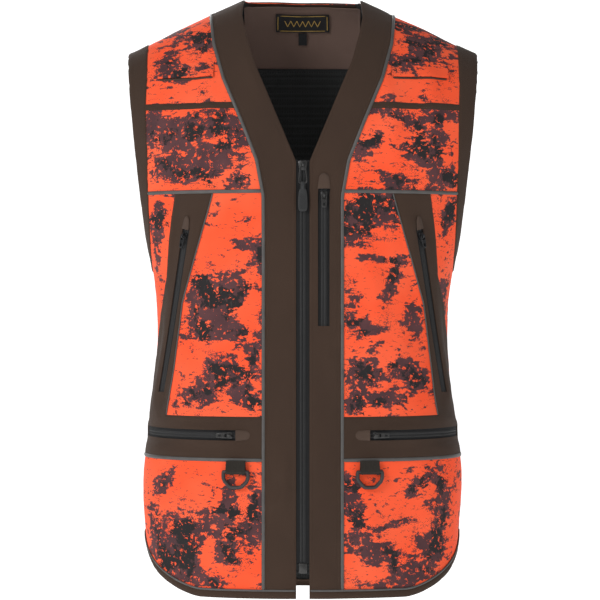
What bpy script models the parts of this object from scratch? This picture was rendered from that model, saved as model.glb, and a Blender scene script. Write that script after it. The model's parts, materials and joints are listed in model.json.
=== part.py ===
"""A sleeveless zip-front field vest, worn size large, with a quilt of cloth panels.

Frame: +Z up, the chest faces -Y, +X is the wearer's left.  The origin is the point
between the neck-side ends of the two shoulder seams, where the shoulders carry it.
Every cloth panel is a thin closed shell cut from one smooth body form, `form`.
"""

from math import asin, atan2, cos, pi, radians, sin, sqrt

import bmesh
import bpy
from mathutils import Matrix, Vector

# Body form ---------------------------------------------------------------------------
FRONT_DEPTH = 0.125          # shoulder plane to chest
BACK_DEPTH = 0.120           # shoulder plane to back
SQUARENESS = 2.4             # 2 is an ellipse, more is boxier
CHEST_Z = -0.215             # above this the form curves over to the shoulders
# height, half width, change of half width with height
SIDE_KNOTS = (
    (-0.790, 0.197, 0.00),
    (-0.640, 0.2067, 0.00),
    (-0.430, 0.1885, 0.00),
    (-0.325, 0.2014, 0.24),
    (-0.070, 0.2750, 0.30),
)
SHOULDER_SLOPE = 0.468
RIDGE_Z = 0.027              # where the shoulder ridge would peak over the neck
RIDGE_ROUND = 0.020
NECK_X = 0.0752
SHOULDER_TIP_X = 0.2276
LEVEL_STEP = 0.30            # metres of height in one unit of level below the chest

# Edges of the cloth ------------------------------------------------------------------
CLOTH = 0.0018
SEAM_GAP = 0.0005
WINDOW_GAP = 0.0012          # from a zip tape to the cloth edge beside it
HEM_Z = -0.7640
BACK_HEM_DROP = 0.016
HEM_CORNER = 0.064
HEM_CORNER_START = radians(51)
BINDING_HEIGHT = 0.0095
WAIST_TOP = -0.5367
WAIST_BOTTOM = -0.5904
TAPE_TOP = -0.1420
TAPE_BOTTOM = -0.1500
STRIP_TOP = -0.2521
STRIP_BOTTOM = -0.2565
YOKE_V_Z = -0.0888
PLACKET_X = 0.0494
PIPING = 0.0025
ARMPIT_Z = -0.325
BAND_PIT_Z = -0.355
BAND_TOP_X = 0.1996          # the armhole band's inner edge, at the shoulder
BAND_STEPS = 12
BAND_CLEARANCE = 0.0016
NECKLINE_RISE = 0.005
SIDE_CLEARANCE = 0.015       # radians between a pocket panel and the side panel

# Zips --------------------------------------------------------------------------------
ZIP_GAP = 0.0007             # half the slit between the two rows of coil
ZIP_SUNK = 0.0006
ZIP_THICK = 0.0016
MAIN_ZIP_TOP = -0.2154
MAIN_ZIP_FOOT = -0.7190
MAIN_ZIP_HALF = 0.0078
STOP_HEIGHT = 0.0125
LOOP_DROP = 0.0235           # from the slider's eye to the grip's
LOOP_WIRE = 0.0008
CHEST_ZIP_X = 0.0265
CHEST_ZIP_HALF = 0.0068
CHEST_ZIP_Z = (-0.4229, -0.2500)
HAND_ZIP_HALF = 0.0050
HAND_ZIP_TOP = (0.147, -0.300)
HAND_ZIP_FOOT = (0.181, -0.508)
WAIST_ZIP_HALF = 0.0060
WAIST_ZIP_Z = -0.5600
WAIST_ZIP_X = 0.0830
WAIST_ZIP_END = radians(86)

# Webbing and rings -------------------------------------------------------------------
RING_X = 0.083
RING_WIRE = 0.0024
WEBBING_WIDTH = 0.025
WEBBING_DROP = 0.0135
WEBBING_WALL = 0.0016
RING_HALF = 0.0156
RING_DEEP = 0.0200
RING_CORNER = 0.0068

# Flaps, neck and lining --------------------------------------------------------------
FLAP_X = (0.112, 0.184)
FLAP_Z = (-0.1095, -0.0895)
FACING_X = 0.070
FACING_FOOT = -0.0790
FACING_DROP = 0.0050         # from the neckline down to the facing
FACING_LIFT = -0.0064
LABEL_X = 0.0385
LABEL_Z = (-0.0270, -0.0040)
TAG_X = 0.0060
TAG_Z = (-0.0440, -0.0285)
LABEL_LIFT = -0.0088
LINING_Z = (-0.7300, -0.0830)
LINING_END = radians(80)
LINING_LIFT = -0.0076

ORANGE = (1.0, 0.102, 0.031)
BROWN = (0.045, 0.027, 0.021)
GREY = (0.060, 0.058, 0.056)
BLACK = (0.012, 0.012, 0.012)
MESH_BLACK = (0.006, 0.006, 0.006)
STRAP = (0.020, 0.015, 0.011)
DARK_PLASTIC = (0.026, 0.022, 0.022)
METAL = (0.10, 0.09, 0.09)


def clear_scene():
    for item in list(bpy.data.objects):
        bpy.data.objects.remove(item, do_unlink=True)


# The body form -----------------------------------------------------------------------


def half_width(z):
    """Half the width at a height, by cubic curves between the knots."""
    z = min(max(z, SIDE_KNOTS[0][0]), SIDE_KNOTS[-1][0])
    for low, high in zip(SIDE_KNOTS, SIDE_KNOTS[1:]):
        if z <= high[0]:
            break
    span = high[0] - low[0]
    t = (z - low[0]) / span
    return (
        (2 * t**3 - 3 * t**2 + 1) * low[1]
        + (t**3 - 2 * t**2 + t) * span * low[2]
        + (3 * t**2 - 2 * t**3) * high[1]
        + (t**3 - t**2) * span * high[2]
    )


def shoulder_z(x):
    """Height of the shoulder ridge."""
    return RIDGE_Z - SHOULDER_SLOPE * (sqrt(x * x + RIDGE_ROUND**2) - RIDGE_ROUND)


def height_at(level, x):
    """Level 0 is the chest, 1 the shoulder ridge, and below 0 it counts LEVEL_STEPs."""
    if level <= 0:
        return CHEST_Z + level * LEVEL_STEP
    return CHEST_Z + (shoulder_z(x) - CHEST_Z) * sin(level * pi / 2)


def level_at(z, x):
    if z <= CHEST_Z:
        return (z - CHEST_Z) / LEVEL_STEP
    return asin(min(1.0, (z - CHEST_Z) / (shoulder_z(x) - CHEST_Z))) * 2 / pi


def reach(theta, z, depth):
    """Distance from the body's axis to the form, at an angle from the centre line."""
    across = abs(sin(theta)) / half_width(z)
    along = abs(cos(theta)) / depth
    return (across**SQUARENESS + along**SQUARENESS) ** (-1 / SQUARENESS)


def angle_of(x, z, depth=FRONT_DEPTH):
    """The angle at which the form is x out from the centre line."""
    share = min(1.0, abs(x) / half_width(z))
    return atan2(abs(x), depth * (1 - share**SQUARENESS) ** (1 / SQUARENESS))


def form(theta, level, back=False):
    """A point of the wearer's left half; theta runs from the centre line to 90 at the side."""
    depth = BACK_DEPTH if back else FRONT_DEPTH
    z = height_at(level, 0.1)
    x = 0.1
    for _ in range(5):
        x = reach(theta, z, depth) * sin(theta)
        z = height_at(level, x)
    out = reach(theta, z, depth) * cos(theta)
    if level > 0:
        out *= cos(level * pi / 2)
    out += SEAM_GAP
    return Vector((x, out if back else -out, z))


def normal_at(theta, level, back=False):
    """The outward direction, from two short steps along the form."""
    step = 0.004
    around = form(theta + step, level, back) - form(theta - step, level, back)
    up = form(theta, level + step, back) - form(theta, level - step, back)
    normal = around.cross(up).normalized()
    return -normal if back else normal


def on_form(theta, z, lift=0.0, back=False):
    """A point of the form by its height, lifted off the cloth's outer face."""
    depth = BACK_DEPTH if back else FRONT_DEPTH
    level = level_at(z, reach(theta, z, depth) * sin(theta))
    point = form(theta, level, back)
    if lift:
        point += lift * normal_at(theta, level, back)
    return point


# Meshes ------------------------------------------------------------------------------


def material_for(name, color, metallic=0.0, roughness=0.75):
    material = bpy.data.materials.new(name)
    material.use_nodes = True
    shader = material.node_tree.nodes["Principled BSDF"]
    shader.inputs["Base Color"].default_value = (*color, 1.0)
    shader.inputs["Metallic"].default_value = metallic
    shader.inputs["Roughness"].default_value = roughness
    return material


def add_object(name, mesh, color, metallic=0.0, roughness=0.75):
    piece = bpy.data.objects.new(name, mesh)
    bpy.context.scene.collection.objects.link(piece)
    mesh.materials.clear()
    mesh.materials.append(material_for(name, color, metallic, roughness))
    return piece


def mirrored(point):
    return Vector((-point.x, point.y, point.z))


def sheet(name, rows, color, holes=(), closed=False, thick=CLOTH, mirror=False):
    """A cloth shell from rows of points on its outer face, left to right seen from outside.

    `holes` lists the (row, column) cells that are left open.  `mirror` makes it for the
    wearer's other side.
    """
    net = bmesh.new()
    grid = [[net.verts.new(mirrored(p) if mirror else p) for p in row] for row in rows]
    columns = len(rows[0])
    for i in range(len(rows) - (0 if closed else 1)):
        for j in range(columns - 1):
            if (i, j) in holes:
                continue
            below, above = grid[i], grid[(i + 1) % len(rows)]
            corners = [below[j], below[j + 1], above[j + 1], above[j]]
            net.faces.new(corners[::-1] if mirror else corners)
    loose = [vert for vert in net.verts if not vert.link_faces]
    bmesh.ops.delete(net, geom=loose, context="VERTS")
    mesh = bpy.data.meshes.new(name)
    net.to_mesh(mesh)
    net.free()
    mesh.shade_smooth()
    mesh.set_sharp_from_angle(angle=radians(35))
    piece = add_object(name, mesh, color)
    thicken = piece.modifiers.new("thickness", "SOLIDIFY")
    thicken.thickness = thick
    thicken.offset = -1.0
    return piece


def spread(low, high, count):
    return [low + (high - low) * i / (count - 1) for i in range(count)]


def patch(inner, outer, low, high, columns, rows, back=False, lift=0.0):
    """Rows of points between two side edges and two level edges.

    `inner` and `outer` give an angle at a height; `low` and `high` give a height at an
    angle.  Rows are even in level, so they gather where the form curves over.
    `columns` and `rows` are counts, or lists of shares of the way along.
    """
    depth = BACK_DEPTH if back else FRONT_DEPTH
    result = []
    parts = rows if isinstance(rows, list) else spread(0, 1, rows)
    acrosses = columns if isinstance(columns, list) else spread(0, 1, columns)
    for part in parts:
        row = []
        for across in acrosses:
            z = low(inner(CHEST_Z)) * (1 - part) + high(inner(CHEST_Z)) * part
            for _ in range(8):
                theta = inner(z) * (1 - across) + outer(z) * across
                x = reach(theta, z, depth) * sin(theta)
                foot, top = level_at(low(theta), x), level_at(high(theta), x)
                level = foot * (1 - part) + top * part
                z = height_at(level, x)
            point = form(theta, level, back)
            if lift:
                point += lift * normal_at(theta, level, back)
            row.append(point)
        result.append(row[::-1] if back else row)
    return result


def constant(value):
    return lambda _: value


def at_x(x, depth=FRONT_DEPTH):
    """An edge that stands at a distance from the centre line, seen from the front."""
    return lambda z: angle_of(x, z, depth)


def shares_round_armpit(low, high, plain_rows):
    """Row shares that meet the armhole band's own corners below and above its foot."""
    heights = spread(low, BAND_PIT_Z - BAND_CLEARANCE, plain_rows)
    heights += [z - BAND_CLEARANCE for z in band_heights(BAND_PIT_Z, BAND_TOP_X)[1:]]
    x = BAND_TOP_X
    foot, top = level_at(low, x), level_at(high, x)
    inside = [(level_at(z, x) - foot) / (top - foot) for z in heights if z < high - 0.004]
    return [*inside, 1.0]


def whole_back(rows):
    """Joins a wearer's-left half of the back to its mirror image, across the centre."""
    return [row + [mirrored(p) for p in row[-2::-1]] for row in rows]


# Named edges -------------------------------------------------------------------------


def curve_through(points):
    """x by height through a few points, straight between them but eased at each one."""

    def x_at(z):
        ordered = sorted(points, key=lambda p: p[1])
        if z <= ordered[0][1]:
            return ordered[0][0]
        for low, high in zip(ordered, ordered[1:]):
            if z <= high[1]:
                t = (z - low[1]) / (high[1] - low[1])
                return low[0] + (high[0] - low[0]) * t
        return ordered[-1][0]

    return x_at


NECK_EDGE = curve_through(
    ((0.0084, -0.2170), (0.0618, YOKE_V_Z), (0.0725, -0.0500), (0.0771, -0.0250), (NECK_X, 0.0))
)
PIPING_EDGE = curve_through(
    (
        (PLACKET_X, -0.2600),
        (0.0575, -0.2154),
        (0.0779, -0.1636),
        (0.1000, -0.1110),
        (0.1130, -0.0650),
        (0.1183, -0.0200),
    )
)
POCKET_INNER = curve_through(((0.113, -0.2565), (0.151, -0.3940), (0.172, -0.5367)))
POCKET_OUTER_ANGLE = curve_through(
    ((radians(59.5), -0.2600), (radians(68), -0.3600), (radians(82), -0.4400), (radians(86), -0.5367))
)


def edge(x_at, shift=0.0, depth=FRONT_DEPTH):
    return lambda z: angle_of(x_at(z) + shift, z, depth)


def hem_z(theta, drop=0.0):
    """Height of the lower edge: level in front, and rising in a round corner at the side."""
    turn = max(0.0, (theta - HEM_CORNER_START) / (pi / 2 - HEM_CORNER_START))
    return HEM_Z - drop + (HEM_CORNER + drop) * turn**1.5


def hem_edge(rise, drop=0.0):
    """A level edge that follows the lower edge, a little above it."""
    return lambda theta: hem_z(theta, drop) + rise


def band_inner(z):
    """x of the armhole band's inner edge."""
    low = half_width(BAND_PIT_Z)
    share = (z - BAND_PIT_Z) / (shoulder_z(BAND_TOP_X) - BAND_PIT_Z)
    return low + (BAND_TOP_X - low) * share


def band_outer(z):
    """x of the armhole's edge."""
    low = half_width(ARMPIT_Z)
    share = (z - ARMPIT_Z) / (shoulder_z(SHOULDER_TIP_X) - ARMPIT_Z)
    return low + (SHOULDER_TIP_X - low) * share


def band_heights(foot, top_x):
    """Heights round one edge of the armhole band, close together at both ends."""
    rise = shoulder_z(top_x) - foot
    return [foot + rise * sin(share * pi / 2) ** 2 for share in spread(0, 1, BAND_STEPS)]


def cloth_side(depth=FRONT_DEPTH):
    """The outer edge of a body panel: the side seam, and above it the armhole band."""

    def angle(z):
        lowered = z + BAND_CLEARANCE
        if lowered <= BAND_PIT_Z:
            return pi / 2
        return angle_of(band_inner(lowered), lowered, depth) - 0.4 * BAND_CLEARANCE / depth

    return angle


def ridge(theta):
    """The shoulder seam's height at an angle, found by a few rounds."""
    x = 0.15
    for _ in range(6):
        x = reach(theta, shoulder_z(x), FRONT_DEPTH) * sin(theta)
    return shoulder_z(x)


# Panels of one side ------------------------------------------------------------------


def side_name(name, mirror):
    return f"{name}_{'right' if mirror else 'left'}"


def make_placket(mirror):
    beside_zip = MAIN_ZIP_HALF + SEAM_GAP
    inside = curve_through(
        (
            (beside_zip, HEM_Z),
            (beside_zip, MAIN_ZIP_TOP),
            (0.0096, MAIN_ZIP_TOP + 0.001),
        )
    )

    def inner(z):
        return edge(inside)(z) if z < MAIN_ZIP_TOP else edge(NECK_EDGE)(z)

    outer = edge(PIPING_EDGE, -PIPING)
    name = side_name("placket", mirror)
    window = CHEST_ZIP_HALF + SEAM_GAP
    stops = [
        inside(HEM_Z), CHEST_ZIP_X - window, CHEST_ZIP_X + window, PLACKET_X - PIPING,
    ]
    shares = [(x - stops[0]) / (stops[-1] - stops[0]) for x in stops]
    top = patch(inner, outer, constant(CHEST_ZIP_Z[1]), ridge, shares, 9)
    heights = spread(HEM_Z, CHEST_ZIP_Z[0], 7) + spread(CHEST_ZIP_Z[0], CHEST_ZIP_Z[1], 5)[1:]
    low = [
        [on_form(angle_of(x, z), z) for x in (*stops[:3], PIPING_EDGE(z) - PIPING)]
        for z in heights
    ]
    # The wearer's left placket has the chest zip's window cut through it.
    holes = () if mirror else {(i, 1) for i in range(6, 10)}
    sheet(name, low + top[1:], BROWN, holes=holes, mirror=mirror)


def make_front_cloth(mirror):
    """Yoke, yoke tape, chest panel, reflective strip and front panel."""
    inner = edge(PIPING_EDGE)
    outer = cloth_side()
    gap = SEAM_GAP
    parts = (
        ("front_yoke", ORANGE, TAPE_TOP + gap, None, 6, 6),
        ("yoke_tape", BROWN, TAPE_BOTTOM, TAPE_TOP, 6, 2),
        ("chest_panel", ORANGE, STRIP_TOP + gap, TAPE_BOTTOM - gap, 7, 6),
        ("reflective_strip", GREY, STRIP_BOTTOM, STRIP_TOP, 7, 2),
    )
    for name, color, low, high, columns, rows in parts:
        top = ridge if high is None else constant(high)
        sheet(
            side_name(name, mirror),
            patch(inner, outer, constant(low), top, columns, rows),
            color,
            mirror=mirror,
        )
    panel = patch(
        inner,
        edge(POCKET_INNER, -gap),
        constant(WAIST_TOP + gap),
        constant(STRIP_BOTTOM - gap),
        5,
        9,
    )
    sheet(side_name("front_panel", mirror), panel, ORANGE, mirror=mirror)


def make_side_panel(mirror):
    def inner(z):
        return POCKET_OUTER_ANGLE(z) + SIDE_CLEARANCE

    low, high = WAIST_TOP + SEAM_GAP, STRIP_BOTTOM - SEAM_GAP
    shares = shares_round_armpit(low, high, 6)
    panel = patch(inner, cloth_side(), constant(low), constant(high), 3, shares)
    sheet(side_name("side_panel", mirror), panel, ORANGE, mirror=mirror)


def make_skirt(mirror):
    inner, outer = at_x(PLACKET_X), constant(pi / 2)
    low, high = hem_edge(BINDING_HEIGHT + SEAM_GAP), constant(WAIST_BOTTOM - SEAM_GAP)
    panel = patch(inner, outer, low, high, 9, 6)
    sheet(side_name("skirt_panel", mirror), panel, ORANGE, mirror=mirror)
    hem = patch(inner, outer, hem_z, hem_edge(BINDING_HEIGHT), 9, 2)
    sheet(side_name("hem_binding", mirror), hem, BROWN, mirror=mirror)


def make_armhole_band(mirror):
    """One ring of doubled brown cloth, round the whole armhole."""
    loop = []
    for back in (False, True):
        depth = BACK_DEPTH if back else FRONT_DEPTH
        half = []
        inner_heights = band_heights(BAND_PIT_Z, BAND_TOP_X)
        outer_heights = band_heights(ARMPIT_Z, SHOULDER_TIP_X)
        for low, high in zip(inner_heights, outer_heights):
            row = []
            for z, x_at in ((low, band_inner), (high, band_outer)):
                theta = angle_of(x_at(z), z, depth)
                row.append(on_form(theta, z, back=back))
            middle = (row[0] + row[1]) / 2
            theta = angle_of(middle.x, middle.z, depth)
            row.insert(1, on_form(theta, middle.z, back=back))
            half.append(row)
        loop += half[::-1] if back else half
    sheet(side_name("armhole_band", mirror), loop, BROWN, closed=True, mirror=mirror)


def make_shoulder_flap(mirror):
    """The printed flap over the slot near the shoulder, lying on the yoke."""
    sides = (at_x(x) for x in FLAP_X)
    levels = (constant(z) for z in FLAP_Z)
    rows = patch(*sides, *levels, 7, 3, lift=0.0024)
    sheet(side_name("shoulder_flap", mirror), rows, ORANGE, thick=0.0012, mirror=mirror)


# Zips --------------------------------------------------------------------------------


class StraightZip:
    """A zip along a straight line; `place` gives a point and the directions there."""

    def __init__(self, top, foot, outward):
        self.top, self.foot = Vector(top), Vector(foot)
        self.length = (self.foot - self.top).length
        self.along = (self.foot - self.top).normalized()
        self.across = Vector(outward).cross(self.along).normalized()
        self.outward = self.along.cross(self.across).normalized()

    def place(self, distance, shift=0.0, lift=0.0):
        return self.top + distance * self.along + shift * self.across + lift * self.outward

    def axes(self, _):
        return self.across, -self.outward, -self.along


class ArcZip:
    """A zip along a level arc, from its start beside the placket towards the side seam."""

    def __init__(self, start, middle, end):
        a, b, c = (Vector((p.x, p.y)) for p in (start, middle, end))
        double_area = 2 * (a.x * (b.y - c.y) + b.x * (c.y - a.y) + c.x * (a.y - b.y))
        squares = [p.length_squared for p in (a, b, c)]
        self.center = Vector(
            (
                (squares[0] * (b.y - c.y) + squares[1] * (c.y - a.y) + squares[2] * (a.y - b.y)),
                (squares[0] * (c.x - b.x) + squares[1] * (a.x - c.x) + squares[2] * (b.x - a.x)),
            )
        ) / double_area
        self.radius = (a - self.center).length
        self.z = start.z
        self.start = atan2(a.y - self.center.y, a.x - self.center.x)
        self.end = atan2(c.y - self.center.y, c.x - self.center.x)
        self.length = self.radius * (self.end - self.start)

    def place(self, distance, shift=0.0, lift=0.0):
        """`shift` is upwards, so that a slider's left and right follow the zip."""
        turn = self.start + distance / self.radius
        out = self.radius + lift
        return Vector(
            (self.center.x + out * cos(turn), self.center.y + out * sin(turn), self.z + shift)
        )

    def axes(self, distance):
        turn = self.start + distance / self.radius
        outward = Vector((cos(turn), sin(turn), 0))
        along = Vector((-sin(turn), cos(turn), 0))
        return outward.cross(along), -outward, -along


def skin_point(x, z):
    return on_form(angle_of(x, z), z)


def hand_zip():
    top, foot = skin_point(*HAND_ZIP_TOP), skin_point(*HAND_ZIP_FOOT)
    outward = normal_at(angle_of(*HAND_ZIP_TOP), level_at(HAND_ZIP_TOP[1], 0.1))
    outward += normal_at(angle_of(*HAND_ZIP_FOOT), level_at(HAND_ZIP_FOOT[1], 0.1))
    return StraightZip(top, foot, outward)


def waist_zip():
    first = angle_of(WAIST_ZIP_X, WAIST_ZIP_Z)
    angles = (first, (first + WAIST_ZIP_END) / 2, WAIST_ZIP_END)
    return ArcZip(*(on_form(theta, WAIST_ZIP_Z) for theta in angles))


def make_tape(name, line, start, end, half, steps, mirror=False):
    """Both tapes of a closed-end zip: one strip with a slit that the slider runs in."""
    stations = [start, *spread(start + 0.004, end - 0.004, steps), end]
    shifts = (-half, -ZIP_GAP, ZIP_GAP, half)
    rows = [[line.place(d, s, -ZIP_SUNK) for s in shifts] for d in reversed(stations)]
    slit = {(i, 1) for i in range(1, len(rows) - 2)}
    sheet(name, rows, BLACK, holes=slit, thick=ZIP_THICK, mirror=mirror)


def make_pocket_panel(mirror):
    """The slanted brown panel of a hand pocket, with a window for its straight zip."""
    line = hand_zip()
    half = HAND_ZIP_HALF + WINDOW_GAP
    window = (0.0, line.length)
    low, high = WAIST_TOP + SEAM_GAP, STRIP_BOTTOM - WINDOW_GAP
    z_top, z_foot = line.top.z, line.foot.z
    heights = [low, (low + z_foot) / 2, *spread(z_foot, z_top, 8), (z_top + high) / 2, high]
    rows = []
    for z in heights:
        distance = (z - line.top.z) / line.along.z
        clear = min(max(distance, window[0]), window[1])
        inner = on_form(angle_of(POCKET_INNER(z) + SEAM_GAP, z), z)
        outer = on_form(POCKET_OUTER_ANGLE(z), z)
        middle = [line.place(distance, -half), line.place(distance, half)]
        if abs(distance - clear) > 1e-6:
            center = (inner + outer) / 2
            beyond = min(1.0, abs(distance - clear) / 0.03)
            middle = [p.lerp(center + (p - line.place(distance)), beyond) for p in middle]
        if middle[0].x > middle[1].x:
            middle.reverse()
        rows.append([inner, *middle, outer])
    holes = {(i, 1) for i in range(2, 9)}
    sheet(side_name("pocket_panel", mirror), rows, BROWN, holes=holes, mirror=mirror)


def make_waist_band(mirror):
    """The brown band over the big lower pocket, with a window for its level zip."""
    line = waist_zip()
    half = WAIST_ZIP_HALF + SEAM_GAP
    first = angle_of(PLACKET_X, WAIST_ZIP_Z)
    distances = spread(0, line.length, 8)
    angles = [first]
    for d in distances:
        point = line.place(d)
        angles.append(atan2(point.x, -point.y))
    angles.append(pi / 2)
    rows = []
    for shift, z in ((None, WAIST_BOTTOM), (-half, 0), (half, 0), (None, WAIST_TOP)):
        row = []
        for i, theta in enumerate(angles):
            if shift is None:
                row.append(on_form(theta, z))
            elif 0 < i < len(angles) - 1:
                row.append(line.place(distances[i - 1], shift))
            else:
                row.append(on_form(theta, WAIST_ZIP_Z + shift))
        rows.append(row)
    holes = {(1, j) for j in range(1, len(distances))}
    sheet(side_name("waist_band", mirror), rows, BROWN, holes=holes, mirror=mirror)


def solid_box(low, high):
    """A mesh box between two corners."""
    net = bmesh.new()
    bmesh.ops.create_cube(net, size=1.0)
    low, high = Vector(low), Vector(high)
    for vert in net.verts:
        for axis in range(3):
            share = vert.co[axis] + 0.5
            vert.co[axis] = low[axis] + share * (high[axis] - low[axis])
    mesh = bpy.data.meshes.new("box")
    net.to_mesh(mesh)
    net.free()
    return mesh


def rod(radius, length, sides=12):
    """A cylinder along X, centred on the origin."""
    net = bmesh.new()
    bmesh.ops.create_cone(
        net, cap_ends=True, segments=sides, radius1=radius, radius2=radius, depth=length,
        matrix=Matrix.Rotation(pi / 2, 4, "Y"),
    )
    mesh = bpy.data.meshes.new("rod")
    net.to_mesh(mesh)
    net.free()
    return mesh


def combine(base, steps):
    """Adds or cuts meshes one after another, and returns the finished mesh."""
    piece = bpy.data.objects.new("work", base)
    bpy.context.scene.collection.objects.link(piece)
    tools = []
    for operation, mesh in steps:
        tool = bpy.data.objects.new("tool", mesh)
        tool.hide_render = True
        tool.display_type = "WIRE"
        bpy.context.scene.collection.objects.link(tool)
        cut = piece.modifiers.new(operation, "BOOLEAN")
        cut.operation = operation
        cut.object = tool
        tools.append(tool)
    bpy.context.view_layer.update()
    graph = bpy.context.evaluated_depsgraph_get()
    result = bpy.data.meshes.new_from_object(piece.evaluated_get(graph))
    for item in (*tools, piece):
        bpy.data.objects.remove(item, do_unlink=True)
    return result


def slider_mesh(width, length, eye_drop):
    """A zip slider: two plates, the wedge between them, and the bridge that holds the pull.

    Local frame: +Z towards the closed end, -Y outwards, the zip's face at y = 0.
    """
    half, plate, clearance = width / 2, 0.0014, 0.0010
    inner = ZIP_THICK + clearance
    front = solid_box((-half, -clearance - plate, -length), (half, -clearance, 0))
    rear = solid_box((-half, inner, -length), (half, inner + plate, 0))
    web = solid_box(
        (-0.0004, -clearance - plate / 2, -length * 0.45),
        (0.0004, inner + plate / 2, -0.0004),
    )
    y_face = -clearance - plate
    bridge = solid_box(
        (-0.0011, y_face - 0.0043, -eye_drop - 0.0031),
        (0.0011, y_face + plate / 2, -eye_drop + 0.0031),
    )
    eye = rod(0.0016, 0.01)
    eye.transform(Matrix.Translation((0, y_face - 0.0021, -eye_drop)))
    return combine(
        front, (("UNION", rear), ("UNION", web), ("UNION", bridge), ("DIFFERENCE", eye))
    )


def eye_place(eye_drop):
    """The centre of the slider's eye in the slider's own frame."""
    return Vector((0, -0.0010 - 0.0014 - 0.0021, -eye_drop))


def pull_mesh(width, length, window):
    """A flat zip pull: the bar in the slider's eye, a window for its bridge, and a hole."""
    half, bar, side = width / 2, 0.0008, 0.0011
    xs = (-half, -half + side, half - side, half)
    hole_top = -length + 0.0052
    zs = (-length, -length + 0.0020, hole_top, -bar - window, -bar, bar)
    rows = [[Vector((x, -bar, z)) for x in xs] for z in zs]
    return rows, {(1, 1), (3, 1)}


def frame_matrix(origin, axes):
    across, inward, up = axes
    matrix = Matrix((across, inward, up)).transposed().to_4x4()
    matrix.translation = origin
    return matrix


def mirror_matrix(matrix):
    """The same place on the wearer's other side, still a pure turn and move."""
    flip = Matrix.Diagonal((-1, 1, 1, 1))
    return flip @ matrix @ flip


def make_slider(name, line, distance, mirror=False, width=0.0080, length=0.0090, eye_drop=0.0045):
    origin = line.place(distance, 0, -ZIP_SUNK)
    matrix = frame_matrix(origin, line.axes(distance))
    if mirror:
        matrix = mirror_matrix(matrix)
    piece = add_object(name, slider_mesh(width, length, eye_drop), METAL, 0.8, 0.4)
    piece.matrix_world = matrix
    return matrix


def make_pull(name, slider_matrix, swing=0.0, eye_drop=0.0045):
    """The pull hangs in the slider's eye; `swing` turns it outwards about the eye."""
    rows, holes = pull_mesh(0.0070, 0.0165, 0.0044)
    piece = sheet(name, rows, METAL, holes=holes, thick=0.0016)
    turn = Matrix.Rotation(-swing, 4, "X")
    piece.matrix_world = slider_matrix @ Matrix.Translation(eye_place(eye_drop)) @ turn
    return piece


def hang_swing(matrix):
    """How far a pull turns outwards about its eye to hang straight down."""
    local = matrix.to_3x3().inverted() @ Vector((0, 0, -1))
    return atan2(-local.y, -local.z)


def make_main_zip():
    outward = Vector((0, -1, 0))
    surface_y = -FRONT_DEPTH - SEAM_GAP
    line = StraightZip((0, surface_y, MAIN_ZIP_TOP), (0, surface_y, MAIN_ZIP_FOOT), outward)
    for mirror in (False, True):
        rows = [
            [Vector((x, surface_y + ZIP_SUNK, z)) for x in (ZIP_GAP, MAIN_ZIP_HALF)]
            for z in spread(MAIN_ZIP_FOOT, MAIN_ZIP_TOP, 4)
        ]
        sheet(side_name("main_zip_tape", mirror), rows, BLACK, thick=ZIP_THICK, mirror=mirror)
    stop = solid_box(
        (-0.0050, surface_y - 0.0016, MAIN_ZIP_FOOT - 0.0004 - STOP_HEIGHT),
        (0.0050, surface_y + 0.0034, MAIN_ZIP_FOOT - 0.0004),
    )
    add_object("main_zip_box", stop, DARK_PLASTIC, roughness=0.45)
    eye_drop = 0.0050
    matrix = make_slider("main_slider", line, 0.0004, width=0.0110, length=0.0125, eye_drop=eye_drop)
    eye = matrix @ eye_place(eye_drop)
    add_pull_loop(eye)
    add_grip(eye + Vector((0, 0, -LOOP_DROP)))


def wire(name, points, radius, color, metallic, roughness):
    """A closed ring of round wire, swept along a smooth closed run of points."""
    curve = bpy.data.curves.new(name, "CURVE")
    curve.dimensions = "3D"
    spline = curve.splines.new("POLY")
    spline.points.add(len(points) - 1)
    for target, point in zip(spline.points, points):
        target.co = (*point, 1.0)
    spline.use_cyclic_u = True
    curve.bevel_depth = radius
    curve.bevel_resolution = 2
    piece = bpy.data.objects.new(name, curve)
    bpy.context.scene.collection.objects.link(piece)
    curve.materials.append(material_for(name, color, metallic, roughness))
    return piece


def add_pull_loop(eye):
    """A pear-shaped ring of wire, narrow at the eye and round where it holds the grip."""
    right = ((0.0022, 0), (0.0031, -0.0010), (0.0046, -0.0170), (0.0046, -0.0215))
    outline = [*right, (0.0034, -LOOP_DROP), (-0.0034, -LOOP_DROP)]
    outline += [(-x, z) for x, z in reversed(right)]
    points = [Vector((x, 0, z)) for x, z in outline]
    ring = wire("slider_loop", points, LOOP_WIRE, METAL, 0.8, 0.35)
    ring.location = eye


def add_grip(top):
    """The moulded grip: a neck with an eye for the loop, and a flat rounded paddle."""
    neck = solid_box((-0.0022, -0.0018, -0.0080), (0.0022, 0.0018, 0.0020))
    net = bmesh.new()
    bmesh.ops.create_cube(net, size=1.0)
    for vert in net.verts:
        vert.co = Vector((vert.co.x * 0.012, vert.co.y * 0.0032, vert.co.z * 0.029 - 0.0210))
    upright = [e for e in net.edges if abs((e.verts[0].co - e.verts[1].co).y) > 0.003]
    bmesh.ops.bevel(net, geom=upright, offset=0.0035, segments=3, affect="EDGES", profile=0.5)
    paddle = bpy.data.meshes.new("paddle")
    net.to_mesh(paddle)
    net.free()
    mesh = combine(paddle, (("UNION", neck), ("DIFFERENCE", rod(0.0012, 0.01))))
    grip = add_object("slider_grip", mesh, DARK_PLASTIC, roughness=0.5)
    grip.location = top


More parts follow.
